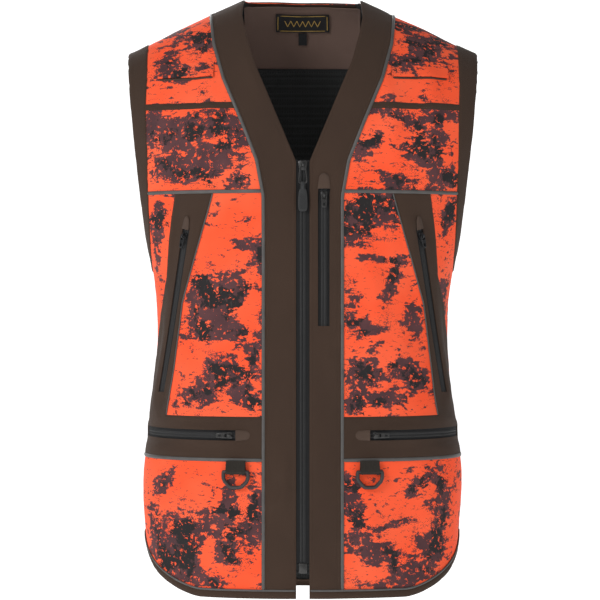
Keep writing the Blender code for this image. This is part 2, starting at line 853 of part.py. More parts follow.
def make_chest_zip():
    surface_y = -FRONT_DEPTH - SEAM_GAP
    low, high = CHEST_ZIP_Z
    place = skin_point(CHEST_ZIP_X, (low + high) / 2)
    outward = normal_at(angle_of(CHEST_ZIP_X, low), level_at(low, CHEST_ZIP_X))
    outward = Vector((outward.x, outward.y, 0)).normalized()
    line = StraightZip((CHEST_ZIP_X, place.y, high), (CHEST_ZIP_X, place.y, low), outward)
    make_tape("chest_zip_tape", line, SEAM_GAP, line.length - SEAM_GAP, CHEST_ZIP_HALF, 4)
    matrix = make_slider("chest_slider", line, 0.0045)
    make_pull("chest_pull", matrix, hang_swing(matrix))


def make_side_zips(mirror):
    line = hand_zip()
    make_tape(
        side_name("pocket_zip_tape", mirror), line, SEAM_GAP, line.length - SEAM_GAP,
        HAND_ZIP_HALF, 4, mirror,
    )
    matrix = make_slider(side_name("pocket_slider", mirror), line, 0.0050, mirror)
    make_pull(side_name("pocket_pull", mirror), matrix, hang_swing(matrix))
    line = waist_zip()
    make_tape(
        side_name("waist_zip_tape", mirror), line, SEAM_GAP, line.length - SEAM_GAP,
        WAIST_ZIP_HALF, 10, mirror,
    )
    matrix = make_slider(side_name("waist_slider", mirror), line, 0.0050, mirror)
    make_pull(side_name("waist_pull", mirror), matrix)


# Rings, back and neck ----------------------------------------------------------------


def make_ring(mirror):
    """A webbing tab folded round the straight bar of a dee ring."""
    theta = angle_of(RING_X, WAIST_BOTTOM)
    level = level_at(WAIST_BOTTOM - 0.01, RING_X)
    outward = normal_at(theta, level)
    outward = Vector((outward.x, outward.y, 0)).normalized()
    across = Vector((-outward.y, outward.x, 0))
    hole, wall = RING_WIRE + 0.0005, WEBBING_WALL
    base = on_form(theta, WAIST_BOTTOM - 0.0010)
    bar = base + (hole + wall + 0.0008) * outward + Vector((0, 0, -WEBBING_DROP))
    matrix = frame_matrix(bar, (across, -outward, Vector((0, 0, 1))))
    if mirror:
        matrix = mirror_matrix(matrix)
    tab = add_object(side_name("webbing_tab", mirror), webbing_mesh(hole, wall), STRAP)
    tab.matrix_world = matrix
    half, deep, chamfer = RING_HALF, RING_DEEP, RING_CORNER
    points = [
        (-half + 0.0015, 0), (half - 0.0015, 0), (half, -0.0020), (half, -deep + 0.0105),
        (half - 0.0020, -deep + chamfer - 0.0010), (half - chamfer, -deep + 0.0012),
        (half - chamfer - 0.0020, -deep),
    ]
    points += [(-x, z) for x, z in points[:1:-1]]
    ring = wire(
        side_name("dee_ring", mirror), [Vector((x, 0, z)) for x, z in points],
        RING_WIRE, DARK_PLASTIC, 0.0, 0.45,
    )
    ring.matrix_world = matrix


def webbing_mesh(hole, wall):
    """The folded strap's side outline with its round eye, drawn out across its width."""
    sides = 16
    top = WEBBING_DROP
    inner, outer = [], []
    for i in range(sides):
        turn = 2 * pi * i / sides
        y, z = sin(turn), cos(turn)
        inner.append((hole * y, hole * z))
        reach_out = hole + wall
        if z > 0.9:
            outer.append(((hole + wall) * 0.35 * (y / 0.3827 if y else 0), top))
        elif z > 0.35:
            outer.append((reach_out * y / abs(y) * 0.72, top * 0.45))
        else:
            outer.append((reach_out * y, reach_out * z))
    net = bmesh.new()
    rings = {}
    for x in (-WEBBING_WIDTH / 2, WEBBING_WIDTH / 2):
        rings[x] = [[net.verts.new((x, *p)) for p in line] for line in (inner, outer)]
    (near_in, near_out), (far_in, far_out) = rings.values()
    for i in range(sides):
        j = (i + 1) % sides
        net.faces.new((near_in[i], near_in[j], near_out[j], near_out[i]))
        net.faces.new((far_out[i], far_out[j], far_in[j], far_in[i]))
        net.faces.new((near_out[i], near_out[j], far_out[j], far_out[i]))
        net.faces.new((far_in[i], far_in[j], near_in[j], near_in[i]))
    bmesh.ops.recalc_face_normals(net, faces=net.faces[:])
    mesh = bpy.data.meshes.new("webbing")
    net.to_mesh(mesh)
    net.free()
    return mesh


def neckline(theta):
    """Height of the back's upper edge: the neck's curve, then the shoulder seam."""
    x = 0.0
    z = 0.0
    for _ in range(6):
        x = reach(theta, z, BACK_DEPTH) * sin(theta)
        neck = NECKLINE_RISE * (1 - min(1.0, x / NECK_X) ** 2)
        z = neck if x < NECK_X else shoulder_z(x)
    return z


def make_back():
    side = cloth_side(BACK_DEPTH)
    seam = TAPE_TOP + SEAM_GAP
    yoke = patch(constant(0.0), side, constant(seam), neckline, 9, 6, back=True)
    sheet("back_yoke", whole_back(yoke), ORANGE)
    low, high = WAIST_BOTTOM, seam - 2 * SEAM_GAP
    shares = shares_round_armpit(low, high, 7)
    panel = patch(constant(0.0), side, constant(low), constant(high), 8, shares, back=True)
    sheet("back_panel", whole_back(panel), ORANGE)
    middle, seam = constant(0.0), constant(pi / 2)
    low = hem_edge(BINDING_HEIGHT + 2 * SEAM_GAP, BACK_HEM_DROP)
    high = constant(WAIST_BOTTOM - 2 * SEAM_GAP)
    skirt = patch(middle, seam, low, high, 9, 6, back=True)
    sheet("back_skirt", whole_back(skirt), ORANGE)
    low, high = hem_edge(0.0, BACK_HEM_DROP), hem_edge(BINDING_HEIGHT, BACK_HEM_DROP)
    hem = patch(middle, seam, low, high, 9, 2, back=True)
    sheet("back_hem_binding", whole_back(hem), BROWN)


def make_neck():
    """The brown facing inside the back neck, its label and size tag, and the mesh lining."""
    middle = constant(0.0)

    def facing_top(theta):
        return neckline(theta) - FACING_DROP

    facing = patch(
        middle, at_x(FACING_X, BACK_DEPTH), constant(FACING_FOOT), facing_top,
        7, 6, back=True, lift=FACING_LIFT,
    )
    sheet("neck_facing", whole_back(facing), BROWN, thick=0.0012)
    for name, x, levels, columns, rows in (
        ("neck_label", LABEL_X, LABEL_Z, 5, 4),
        ("size_tag", TAG_X, TAG_Z, 2, 3),
    ):
        low, high = (constant(z) for z in levels)
        label = patch(
            middle, at_x(x, BACK_DEPTH), low, high, columns, rows, back=True, lift=LABEL_LIFT
        )
        sheet(name, whole_back(label), BLACK, thick=0.0008)
    side = cloth_side(BACK_DEPTH)

    def lining_side(z):
        return min(LINING_END, side(z))

    low, high = (constant(z) for z in LINING_Z)
    lining = patch(middle, lining_side, low, high, 8, 14, back=True, lift=LINING_LIFT)
    sheet("mesh_lining", whole_back(lining), MESH_BLACK, thick=0.0008)


def main():
    clear_scene()
    for mirror in (False, True):
        make_placket(mirror)
        make_front_cloth(mirror)
        make_side_panel(mirror)
        make_skirt(mirror)
        make_armhole_band(mirror)
        make_shoulder_flap(mirror)
        make_pocket_panel(mirror)
        make_waist_band(mirror)
        make_side_zips(mirror)
        make_ring(mirror)
    make_main_zip()
    make_chest_zip()
    make_back()
    make_neck()


main()
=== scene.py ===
# %% [markdown]
# # A blaze orange field vest
# A field vest is a patchwork: printed orange cloth for the body, plain brown cloth where
# hands, straps and zips wear it, a black mesh lining, and five zips. This lesson builds it
# piece by piece round a fixed frame that already says where every part is and how it moves.
# Everything is in metres, +Z is up, the chest faces -Y and +X is the wearer's left.

# %% Load the frame and clear the table
import json
import math

import bpy
import numpy as np
from mathutils import Matrix, Vector

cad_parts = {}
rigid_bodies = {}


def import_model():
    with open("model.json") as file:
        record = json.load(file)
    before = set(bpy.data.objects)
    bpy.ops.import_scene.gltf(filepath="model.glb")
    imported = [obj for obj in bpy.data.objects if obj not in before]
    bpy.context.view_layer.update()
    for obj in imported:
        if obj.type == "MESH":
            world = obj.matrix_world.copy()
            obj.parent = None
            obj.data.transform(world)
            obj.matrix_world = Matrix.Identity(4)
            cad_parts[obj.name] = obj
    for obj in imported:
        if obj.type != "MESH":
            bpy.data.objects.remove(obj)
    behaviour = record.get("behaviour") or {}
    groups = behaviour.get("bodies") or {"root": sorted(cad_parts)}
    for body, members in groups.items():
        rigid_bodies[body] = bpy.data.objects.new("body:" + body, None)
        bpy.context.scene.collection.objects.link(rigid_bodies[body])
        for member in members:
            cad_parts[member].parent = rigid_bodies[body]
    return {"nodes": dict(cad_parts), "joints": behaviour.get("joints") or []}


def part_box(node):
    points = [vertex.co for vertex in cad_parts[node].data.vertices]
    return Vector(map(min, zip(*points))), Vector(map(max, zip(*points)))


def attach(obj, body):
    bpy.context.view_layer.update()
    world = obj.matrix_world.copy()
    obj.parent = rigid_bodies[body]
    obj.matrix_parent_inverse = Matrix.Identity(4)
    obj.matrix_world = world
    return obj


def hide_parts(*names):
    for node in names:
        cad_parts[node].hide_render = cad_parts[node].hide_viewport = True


for leftover in list(bpy.data.objects):
    bpy.data.objects.remove(leftover, do_unlink=True)
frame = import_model()
bpy.ops.object.select_all(action="DESELECT")
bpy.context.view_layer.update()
JOINTS = {joint["name"]: joint for joint in frame["joints"]}

# %% [markdown]
# ## The body under the cloth
# A worn vest takes its shape from a body. It could be sculpted, but then each panel would
# have to be fitted by eye. Instead one smooth form answers the question "where is the skin
# at this angle and this height", and each panel is a net of such answers. Seen from above
# the form is a squared-off oval. Its level counts up from the chest, 0, to the shoulder
# seam, 1, where it has curved right over, and down below the chest in steps of 0.3 m.

# %% The form's measures
FRONT_DEPTH = 0.125
BACK_DEPTH = 0.120
SQUARENESS = 2.4
CHEST_Z = -0.215
LEVEL_STEP = 0.30
# height, half width, change of half width with height
SIDE_KNOTS = np.array(
    (
        (-0.790, 0.197, 0.00),
        (-0.640, 0.2067, 0.00),
        (-0.430, 0.1885, 0.00),
        (-0.325, 0.2014, 0.24),
        (-0.070, 0.2750, 0.30),
    )
)
SHOULDER_SLOPE = 0.468
RIDGE_Z = 0.027
RIDGE_ROUND = 0.020
EASE = 0.0005
QUARTER = math.pi / 2


print("half widths known at heights:", SIDE_KNOTS[:, 0])

# %% The body's width, shoulders and levels
def half_width(z):
    """Half the body's width at heights z, eased between the knots."""
    heights, widths, slopes = SIDE_KNOTS.T
    z = np.clip(z, heights[0], heights[-1])
    i = np.clip(np.searchsorted(heights, z, side="right") - 1, 0, len(heights) - 2)
    span = heights[i + 1] - heights[i]
    t = (z - heights[i]) / span
    low = (2 * t**3 - 3 * t**2 + 1) * widths[i] + (t**3 - 2 * t**2 + t) * span * slopes[i]
    high = (3 * t**2 - 2 * t**3) * widths[i + 1] + (t**3 - t**2) * span * slopes[i + 1]
    return low + high


def shoulder_z(x):
    return RIDGE_Z - SHOULDER_SLOPE * (np.sqrt(x * x + RIDGE_ROUND**2) - RIDGE_ROUND)


def height_at(level, x):
    rise = (shoulder_z(x) - CHEST_Z) * np.sin(np.clip(level, 0, 1.1) * QUARTER)
    return CHEST_Z + np.where(level <= 0, level * LEVEL_STEP, rise)


def level_at(z, x):
    share = np.clip((z - CHEST_Z) / (shoulder_z(x) - CHEST_Z), -1, 1)
    return np.where(z <= CHEST_Z, (z - CHEST_Z) / LEVEL_STEP, np.arcsin(share) / QUARTER)


print("half width at the chest, metres:", round(float(half_width(np.array(CHEST_Z))), 4))

# %% Points of the form and the way out of them
def reach(theta, z, depth):
    """How far the form is from the body's axis, at an angle from the centre line."""
    across = np.abs(np.sin(theta)) / half_width(z)
    along = np.abs(np.cos(theta)) / depth
    return (across**SQUARENESS + along**SQUARENESS) ** (-1 / SQUARENESS)


def angle_of(x, z, depth=FRONT_DEPTH):
    """The angle at which the form is x out from the centre line."""
    share = np.minimum(1.0, np.abs(x) / half_width(z))
    return np.sign(x) * np.arctan2(np.abs(x), depth * (1 - share**SQUARENESS) ** (1 / SQUARENESS))


def form(theta, level, back=False):
    """Points of the form, for angles from the centre line, + to the wearer's left."""
    depth = BACK_DEPTH if back else FRONT_DEPTH
    x = np.full(np.shape(theta), 0.1)
    z = height_at(level, x)
    for _ in range(5):
        x = reach(theta, z, depth) * np.sin(theta)
        z = height_at(level, x)
    over = np.where(level > 0, np.cos(np.clip(level, 0, 1.1) * QUARTER), 1.0)
    out = reach(theta, z, depth) * np.cos(theta) * over + EASE
    return np.stack((x, out if back else -out, z), axis=-1)


def unit(vectors):
    return vectors / np.maximum(np.linalg.norm(vectors, axis=-1, keepdims=True), 1e-12)


def outward(theta, level, back=False):
    """Unit normals of the form, from two short steps along it."""
    step = 0.004
    around = form(theta + step, level, back) - form(theta - step, level, back)
    upward = form(theta, level + step, back) - form(theta, level - step, back)
    normal = unit(np.cross(around, upward))
    return -normal if back else normal


print("half width at the waist:", round(float(half_width(np.array(-0.43))), 4))

# %% [markdown]
# ## Metres along the cloth
# A print, a weave and a wrinkle all belong to the cloth and not to space, so each needs a
# place measured along the cloth. `tape_measure` walks over the form from the centre line
# and from the chest, as a tailor's tape would, and gives metres across and metres up. They
# also become the UV map, so one unit of the pattern is one metre of cloth everywhere.

# %% A tailor's tape and smooth random heights
def walked(points):
    return np.linalg.norm(np.diff(points, axis=0), axis=-1).sum(axis=0)


def tape_measure(theta, level, back=False):
    """Metres across from the centre line, and metres up, of points given on the form."""
    shares = np.linspace(0, 1, 17).reshape(-1, *([1] * np.ndim(theta)))
    across = walked(form(theta * shares, level + 0 * shares, back)) * np.sign(theta)
    up = walked(form(theta + 0 * shares, np.maximum(level, 0) * shares, back))
    return across, CHEST_Z + np.where(level > 0, up, level * LEVEL_STEP)


def eased(value, low, high):
    t = np.clip((value - low) / (high - low), 0, 1)
    return t * t * (3 - 2 * t)


def waves(across, up, cell, seed):
    """Smooth random heights from -1 to 1, about one hill to a cell, the same every run."""
    a, b = across / cell, up / cell
    i, j = np.floor(a), np.floor(b)

    def corner(di, dj):
        mixed = np.sin((i + di) * 127.1 + (j + dj) * 311.7 + seed * 74.7) * 43758.5453
        return 2 * (mixed - np.floor(mixed)) - 1

    u, v = eased(a - i, 0, 1), eased(b - j, 0, 1)
    low = corner(0, 0) * (1 - u) + corner(1, 0) * u
    high = corner(0, 1) * (1 - u) + corner(1, 1) * u
    return low * (1 - v) + high * v


print("girth from centre to side:", np.round(tape_measure(np.array(QUARTER), np.array(-0.7))[0], 3))

# %% [markdown]
# ## Where the zips lie
# A zip is a stiff strip, so the cloth follows the zip and not the other way round. The
# hand pockets' zips are straight and slanted, and the lower pockets' zips run level round
# the hip on an arc. Each line can place a point by its distance from the closed end, its
# shift to one side and its lift off the tape, which is all that a tape, a slider or a
# window in the cloth needs.

# %% Lines that zips follow
MAIN_ZIP_TOP = -0.2154
MAIN_ZIP_FOOT = -0.7190
CHEST_ZIP_X = 0.0265
CHEST_ZIP_Z = (-0.4229, -0.2500)
HAND_ZIP_TOP = (0.147, -0.300)
HAND_ZIP_FOOT = (0.181, -0.508)
WAIST_ZIP_Z = -0.5600
WAIST_ZIP_X = 0.0830
WAIST_ZIP_END = math.radians(86)
MAIN_HALF, CHEST_HALF, HAND_HALF, WAIST_HALF = 0.0078, 0.0068, 0.0050, 0.0060


def skin_point(x, z):
    theta = angle_of(np.array(x), np.array(z))
    return form(theta, level_at(np.array(z), np.array(x)))


print("a point where a hand zip starts:", np.round(skin_point(*HAND_ZIP_TOP), 3))

# %% A straight zip
class StraightLine:
    """A zip from its closed end, `top`, to its foot."""

    def __init__(self, top, foot, out):
        self.top = top
        self.length = float(np.linalg.norm(foot - top))
        self.along = unit(foot - top)
        self.across = unit(np.cross(out, self.along))
        self.out = np.cross(self.along, self.across)

    def place(self, distance, shift=0.0, lift=0.0):
        distance, shift, lift = (np.asarray(v)[..., None] for v in (distance, shift, lift))
        return self.top + distance * self.along + shift * self.across + lift * self.out

    def measure(self, points):
        """Distance and shift of points, the opposite of `place`."""
        arm = points - self.top
        return arm @ self.along, arm @ self.across

    def matrix(self, distance):
        axes = np.stack((self.across, -self.out, -self.along), axis=1)
        return Matrix.Translation(self.place(distance)) @ Matrix(axes.tolist()).to_4x4()


print("chest zip length:", round(CHEST_ZIP_Z[1] - CHEST_ZIP_Z[0], 4))

# %% A level zip round the waist
class ArcLine:
    """A zip along a level arc through three points, with its shift straight up."""

    def __init__(self, start, middle, end):
        a, b, c = start[:2], middle[:2], end[:2]
        rows = np.array((b - a, c - a))
        self.center = np.linalg.solve(rows, (rows @ rows.T).diagonal() / 2) + a
        self.radius = float(np.linalg.norm(a - self.center))
        self.z = float(start[2])
        self.start, self.end = (math.atan2(*(p - self.center)[::-1]) for p in (a, c))
        self.length = self.radius * (self.end - self.start)

    def place(self, distance, shift=0.0, lift=0.0):
        distance, shift, lift = np.broadcast_arrays(distance, shift, lift)
        turn = self.start + distance / self.radius
        out = self.radius + lift
        x = self.center[0] + out * np.cos(turn)
        return np.stack((x, self.center[1] + out * np.sin(turn), self.z + shift), axis=-1)

    def measure(self, points):
        arm = points[..., :2] - self.center
        turn = np.arctan2(arm[..., 1], arm[..., 0])
        return (turn - self.start) * self.radius, points[..., 2] - self.z

    def matrix(self, distance):
        turn = self.start + distance / self.radius
        out = np.array((math.cos(turn), math.sin(turn), 0))
        along = np.array((-math.sin(turn), math.cos(turn), 0))
        axes = np.stack((np.cross(out, along), -out, -along), axis=1)
        return Matrix.Translation(self.place(distance)) @ Matrix(axes.tolist()).to_4x4()


print("waist zips lie at height", WAIST_ZIP_Z)

# %% The lines of all five zips
def out_at(x, z):
    return outward(angle_of(np.array(x), np.array(z)), level_at(np.array(z), np.array(x)))


hand_line = StraightLine(
    skin_point(*HAND_ZIP_TOP),
    skin_point(*HAND_ZIP_FOOT),
    out_at(*HAND_ZIP_TOP) + out_at(*HAND_ZIP_FOOT),
)
first_angle = float(angle_of(np.array(WAIST_ZIP_X), np.array(WAIST_ZIP_Z)))
waist_line = ArcLine(
    *(
        form(np.array(a), (WAIST_ZIP_Z - CHEST_Z) / LEVEL_STEP)
        for a in (first_angle, (first_angle + WAIST_ZIP_END) / 2, WAIST_ZIP_END)
    )
)
front_y = -FRONT_DEPTH - EASE
main_line = StraightLine(
    np.array((0, front_y, MAIN_ZIP_TOP)), np.array((0, front_y, MAIN_ZIP_FOOT)), (0, -1, 0)
)
chest_y = float(skin_point(CHEST_ZIP_X, sum(CHEST_ZIP_Z) / 2)[1])
chest_out = out_at(CHEST_ZIP_X, CHEST_ZIP_Z[0]) * (1, 1, 0)
chest_line = StraightLine(
    np.array((CHEST_ZIP_X, chest_y, CHEST_ZIP_Z[1])),
    np.array((CHEST_ZIP_X, chest_y, CHEST_ZIP_Z[0])),
    chest_out,
)
print("zip lengths:", [round(z.length, 3) for z in (main_line, chest_line, hand_line, waist_line)])

# %% [markdown]
# ## How worn cloth lies
# Cloth that is worn is never quite smooth. It swells over the lining, falls in a few soft
# folds from where it is held, and puckers along its seams because thread shortens it.
# A cloth simulation could give folds, but it would also pull the panels off the zips, so
# the folds are listed as long soft ridges and the swell comes from smooth random
# heights. All of it fades to nothing beside a zip, a ring or a tab, which must lie flat.

# %% Folds, swell and calm places
# across, up, across, up, half width, height: a fold runs from one place to the other
FOLDS = (
    (-0.012, -0.585, -0.034, -0.615, 0.010, 0.0022),
    (-0.014, -0.615, -0.045, -0.655, 0.011, 0.0024),
    (-0.060, -0.180, -0.085, -0.330, 0.013, 0.0030),
    (-0.150, -0.370, -0.105, -0.470, 0.014, 0.0034),
    (-0.125, -0.420, -0.080, -0.520, 0.012, -0.0020),
    (-0.090, -0.640, -0.115, -0.760, 0.016, 0.0032),
    (-0.165, -0.610, -0.150, -0.740, 0.015, 0.0030),
    (-0.200, -0.400, -0.170, -0.470, 0.012, 0.0026),
    (0.090, -0.070, 0.110, -0.240, 0.013, 0.0028),
    (0.150, -0.040, 0.155, -0.240, 0.014, 0.0032),
    (0.065, -0.300, 0.090, -0.500, 0.015, 0.0028),
    (0.130, -0.420, 0.085, -0.520, 0.013, 0.0026),
    (0.070, -0.630, 0.085, -0.760, 0.016, 0.0034),
    (0.170, -0.610, 0.140, -0.750, 0.015, 0.0030),
    (0.030, -0.450, 0.042, -0.540, 0.009, 0.0016),
    (0.045, -0.130, 0.075, -0.060, 0.009, 0.0014),
    (-0.130, -0.060, -0.140, -0.230, 0.013, 0.0026),
    (-0.045, -0.140, -0.075, -0.060, 0.009, 0.0014),
)
BACK_FOLDS = (
    (-0.110, -0.060, -0.060, -0.300, 0.018, 0.0040),
    (0.100, -0.080, 0.075, -0.330, 0.018, 0.0040),
    (-0.150, -0.400, -0.030, -0.450, 0.015, 0.0034),
    (0.160, -0.420, 0.040, -0.470, 0.015, 0.0034),
    (-0.080, -0.560, -0.100, -0.760, 0.018, 0.0040),
    (0.030, -0.580, 0.045, -0.770, 0.018, 0.0038),
    (0.130, -0.560, 0.150, -0.740, 0.017, 0.0036),
    (-0.170, -0.300, -0.120, -0.390, 0.015, 0.0030),
)


print("folds in front and at the back:", len(FOLDS), len(BACK_FOLDS))

# %% Adding up the folds
def folded(across, up, folds):
    """The height that long soft folds give."""
    height = np.zeros_like(across)
    for s0, t0, s1, t1, width, rise in folds:
        run = np.array((s1 - s0, t1 - t0))
        length = np.hypot(*run)
        along = ((across - s0) * run[0] + (up - t0) * run[1]) / length**2
        bow = 0.08 * length * np.sin(np.clip(along, 0, 1) * math.pi)
        aside = ((across - s0) * run[1] - (up - t0) * run[0]) / length + bow
        fade = eased(along, -0.15, 0.35) * (1 - eased(along, 0.6, 1.15))
        height += rise * fade * np.exp(-((aside / width) ** 2))
    return height


def calm(points):
    """1 where cloth may move, falling to 0 beside zips, rings and tabs."""
    x, z = points[..., 0], points[..., 2]
    free = eased(np.abs(x), 0.009, 0.024)
    on_chest = (z > CHEST_ZIP_Z[0] - 0.01) & (z < CHEST_ZIP_Z[1] + 0.02)
    free = free * np.where(on_chest, eased(np.abs(x - CHEST_ZIP_X), 0.008, 0.018), 1)
    reflected = points * np.array((-1, 1, 1))
    for half in (points, reflected):
        distance, shift = hand_line.measure(half)
        beyond = np.maximum(0, np.maximum(-distance - 0.01, distance - hand_line.length))
        free = free * eased(np.hypot(beyond, shift), 0.009, 0.026)
        distance, shift = waist_line.measure(half)
        beyond = np.maximum(0, -distance - 0.02)
        free = free * eased(np.hypot(beyond, shift), 0.009, 0.024)
        near_tab = np.hypot(np.maximum(0, np.abs(half[..., 0] - 0.084) - 0.013), z + 0.606)
        free = free * eased(near_tab, 0.022, 0.040)
    return free


def relief(points, across, up, back):
    """How far worn cloth stands off the form."""
    folds = BACK_FOLDS if back else FOLDS
    seed = 5 if back else 2
    swell = 0.0016 * waves(across, up, 0.085, seed) + 0.0007 * waves(across, up, 0.034, seed + 1)
    height = swell + folded(across, up, folds)
    return height if back else height * calm(points)


def settled(points, lift):
    """Front cloth drawn onto the straight hand zips and the arc of the waist zips."""
    for flip in (1.0, -1.0):
        side = np.array((flip, 1.0, 1.0))
        half = points * side
        for line, width, spread in ((hand_line, HAND_HALF, 0.020), (waist_line, WAIST_HALF, 0.012)):
            distance, shift = line.measure(half)
            beyond = np.maximum(0, np.maximum(-distance, distance - line.length))
            grip = 1 - eased(np.abs(shift), width + 0.001, width + spread)
            grip = grip * (1 - eased(beyond, 0.0, 0.03)) * (half[..., 0] > 0) * (half[..., 1] < 0.02)
            on_line = line.place(distance, shift, lift)
            half = half + grip[..., None] * (on_line - half)
        points = half * side
    return points


print("folds in all:", len(FOLDS) + len(BACK_FOLDS))

# %% Cloth points off the form
def cloth_points(theta, level, lift=0.0, back=False):
    """Points of worn cloth, `lift` above the body cloth, and their normals."""
    base = form(theta, level, back)
    across, up = tape_measure(theta, level, back)
    normal = outward(theta, level, back)
    height = relief(base, across, up, back)
    if not back:
        base = settled(base, 0.0 * height)
    return base + normal * (lift + height)[..., None], normal


print("folds laid:", len(FOLDS) + len(BACK_FOLDS))

# %% [markdown]
# ## Cutting and sewing a panel
# A panel starts as a flat grid, which is how cloth starts too. Its points are then moved
# onto the form between four named edges. The lines of the grid stand closer just inside
# each border, so that the border can tuck under its neighbour as a sewn seam does, and
# so that puckers have points to stand on. Solidify then gives the cloth its thickness.

# %% Nets between edges
CELL = 0.0036
LIPS = (0.0008, 0.0020, 0.0036)


def ladder(*stops, cell=CELL, lips=LIPS):
    """Positions that pass every stop, no more than a cell apart, with lines inside both ends."""
    run = [np.array(stops[:1])]
    for low, high in zip(stops, stops[1:]):
        run.append(np.linspace(low, high, max(2, math.ceil((high - low) / cell) + 1)))
    run += [stops[0] + np.array(lips), stops[-1] - np.array(lips)]
    return np.unique(np.round(np.concatenate(run), 6))


def shares(*stops, **choices):
    run = ladder(*stops, **choices)
    return (run - run[0]) / (run[-1] - run[0])


def level_of(z):
    """The level of heights below the chest."""
    return (z - CHEST_Z) / LEVEL_STEP


def patch(inner, outer, low, high, across, along, back=False):
    """A net of angles and levels. `inner` and `outer` give an angle at a height, `low` and
    `high` a height at an angle; a `high` of None is the shoulder seam."""
    u, v = np.meshgrid(across, along)
    depth = BACK_DEPTH if back else FRONT_DEPTH
    z = np.full(u.shape, CHEST_Z)
    for _ in range(8):
        theta = inner(z) * (1 - u) + outer(z) * u
        x = reach(theta, z, depth) * np.sin(theta)
        top = 1.003 if high is None else level_at(high(theta), x)
        level = level_at(low(theta), x) * (1 - v) + top * v
        z = height_at(level, x)
    return theta, level


def other_side(net):
    theta, level = net
    return -theta[:, ::-1], level[:, ::-1]


def both_halves(net):
    """Joins a half net to its mirror image across the centre line."""
    theta, level = net
    return np.hstack((-theta[:, :0:-1], theta)), np.hstack((level[:, :0:-1], level))


print("cells of a net, metres:", CELL)

# %% Edges by height or by distance
def level_edge(z):
    return lambda theta: np.full(np.shape(theta), z)


def steady(angle):
    return lambda z: np.full(np.shape(z), angle)


def straight(x):
    return lambda z: np.full(np.shape(z), x)


def edge(x_at, shift=0.0, depth=FRONT_DEPTH):
    return lambda z: angle_of(x_at(z) + shift, z, depth)


def through(*places):
    """x by height through a few (x, height) places, lowest first."""
    xs, heights = np.array(places).T
    return lambda z: np.interp(z, heights, xs)


print("a level edge at the chest:", level_edge(CHEST_Z)(np.zeros(2)))

# %% Seams that panels share
HEM_Z = -0.7640
BACK_HEM_DROP = 0.016
HEM_CORNER = 0.064
HEM_CORNER_START = math.radians(51)
BINDING_HEIGHT = 0.0095
WAIST_TOP, WAIST_BOTTOM = -0.5367, -0.5904
TAPE_TOP, TAPE_BOTTOM = -0.1420, -0.1500
STRIP_TOP, STRIP_BOTTOM = -0.2521, -0.2565
PLACKET_X = 0.0494
ARMPIT_Z, BAND_PIT_Z = -0.325, -0.355
BAND_TOP_X, SHOULDER_TIP_X = 0.1996, 0.2276
NECK_X, NECKLINE_RISE = 0.0752, 0.005
UNDER = 0.0045
SIDE = QUARTER + 0.004
neck_edge = through(
    (0.0083, HEM_Z), (0.0084, -0.2170), (0.0618, -0.0888), (0.0725, -0.0500),
    (0.0771, -0.0250), (NECK_X, 0.0),
)
piping_edge = through(
    (PLACKET_X, HEM_Z), (PLACKET_X, -0.2600), (0.0575, -0.2154), (0.0779, -0.1636),
    (0.1000, -0.1110), (0.1130, -0.0650), (0.1183, -0.0200),
)
pocket_inner = through((0.172, WAIST_TOP), (0.151, -0.3940), (0.113, STRIP_BOTTOM))
pocket_outer = through(
    (math.radians(86), WAIST_TOP), (math.radians(82), -0.4400), (math.radians(68), -0.3600),
    (math.radians(59.5), STRIP_BOTTOM),
)


print("waist band from", WAIST_BOTTOM, "to", WAIST_TOP)

# %% The hem, the armhole and the neckline
def hem_edge(drop=0.0, rise=0.0):
    """The lower edge: level in front, rising in a round corner at the side."""

    def height(theta):
        turn = np.maximum(0, (np.abs(theta) - HEM_CORNER_START) / (QUARTER - HEM_CORNER_START))
        return HEM_Z - drop + (HEM_CORNER + drop) * turn**1.5 + rise

    return height


def band_x(z, foot, tip):
    """x of an edge of the armhole band, from the armpit to the shoulder seam."""
    low = half_width(np.array(foot))
    return low + (tip - low) * (z - foot) / (shoulder_z(np.array(tip)) - foot)


def cloth_side(depth=FRONT_DEPTH, under=UNDER):
    """A body panel's outer edge: the side seam, and above it under the armhole band."""

    def angle(z):
        x = np.minimum(band_x(z, BAND_PIT_Z, BAND_TOP_X) + under, half_width(z))
        return np.where(z <= BAND_PIT_Z, SIDE, np.minimum(SIDE, angle_of(x, z, depth)))

    return angle


def neckline(theta):
    """The back's upper edge: the neck's curve, then the shoulder seam."""
    z = np.zeros(np.shape(theta))
    for _ in range(6):
        x = np.abs(reach(theta, z, BACK_DEPTH) * np.sin(theta))
        neck = NECKLINE_RISE * (1 - np.minimum(1, x / NECK_X) ** 2)
        z = np.where(x < NECK_X, neck, shoulder_z(x))
    return z


print("back neck stands at", round(float(neckline(np.array(0.0))), 4))

# %% Making one panel
TUCK = 0.0008
sheet_rows = []


def finish_piece(piece, material, body, nodes):
    """Gives a finished mesh its material and its body, and hides the CAD nodes that it stands for."""
    piece.data.materials.clear()
    piece.data.materials.append(material)
    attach(piece, body)
    if nodes:
        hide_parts(*nodes)
    piece.select_set(False)
    return piece


def grid_of(name, points, metres):
    """A grid primitive moved onto rows of points, with its UV map in metres."""
    rows, columns = points.shape[:2]
    bpy.ops.mesh.primitive_grid_add(x_subdivisions=columns - 1, y_subdivisions=rows - 1, size=1)
    piece = bpy.context.object
    piece.name = piece.data.name = name
    piece.data.vertices.foreach_set("co", points.reshape(-1))
    corner = np.zeros(len(piece.data.loops), int)
    piece.data.loops.foreach_get("vertex_index", corner)
    uv = metres.reshape(-1, 2)[corner]
    piece.data.uv_layers[0].data.foreach_set("uv", uv.reshape(-1))
    piece.data.update()
    return piece


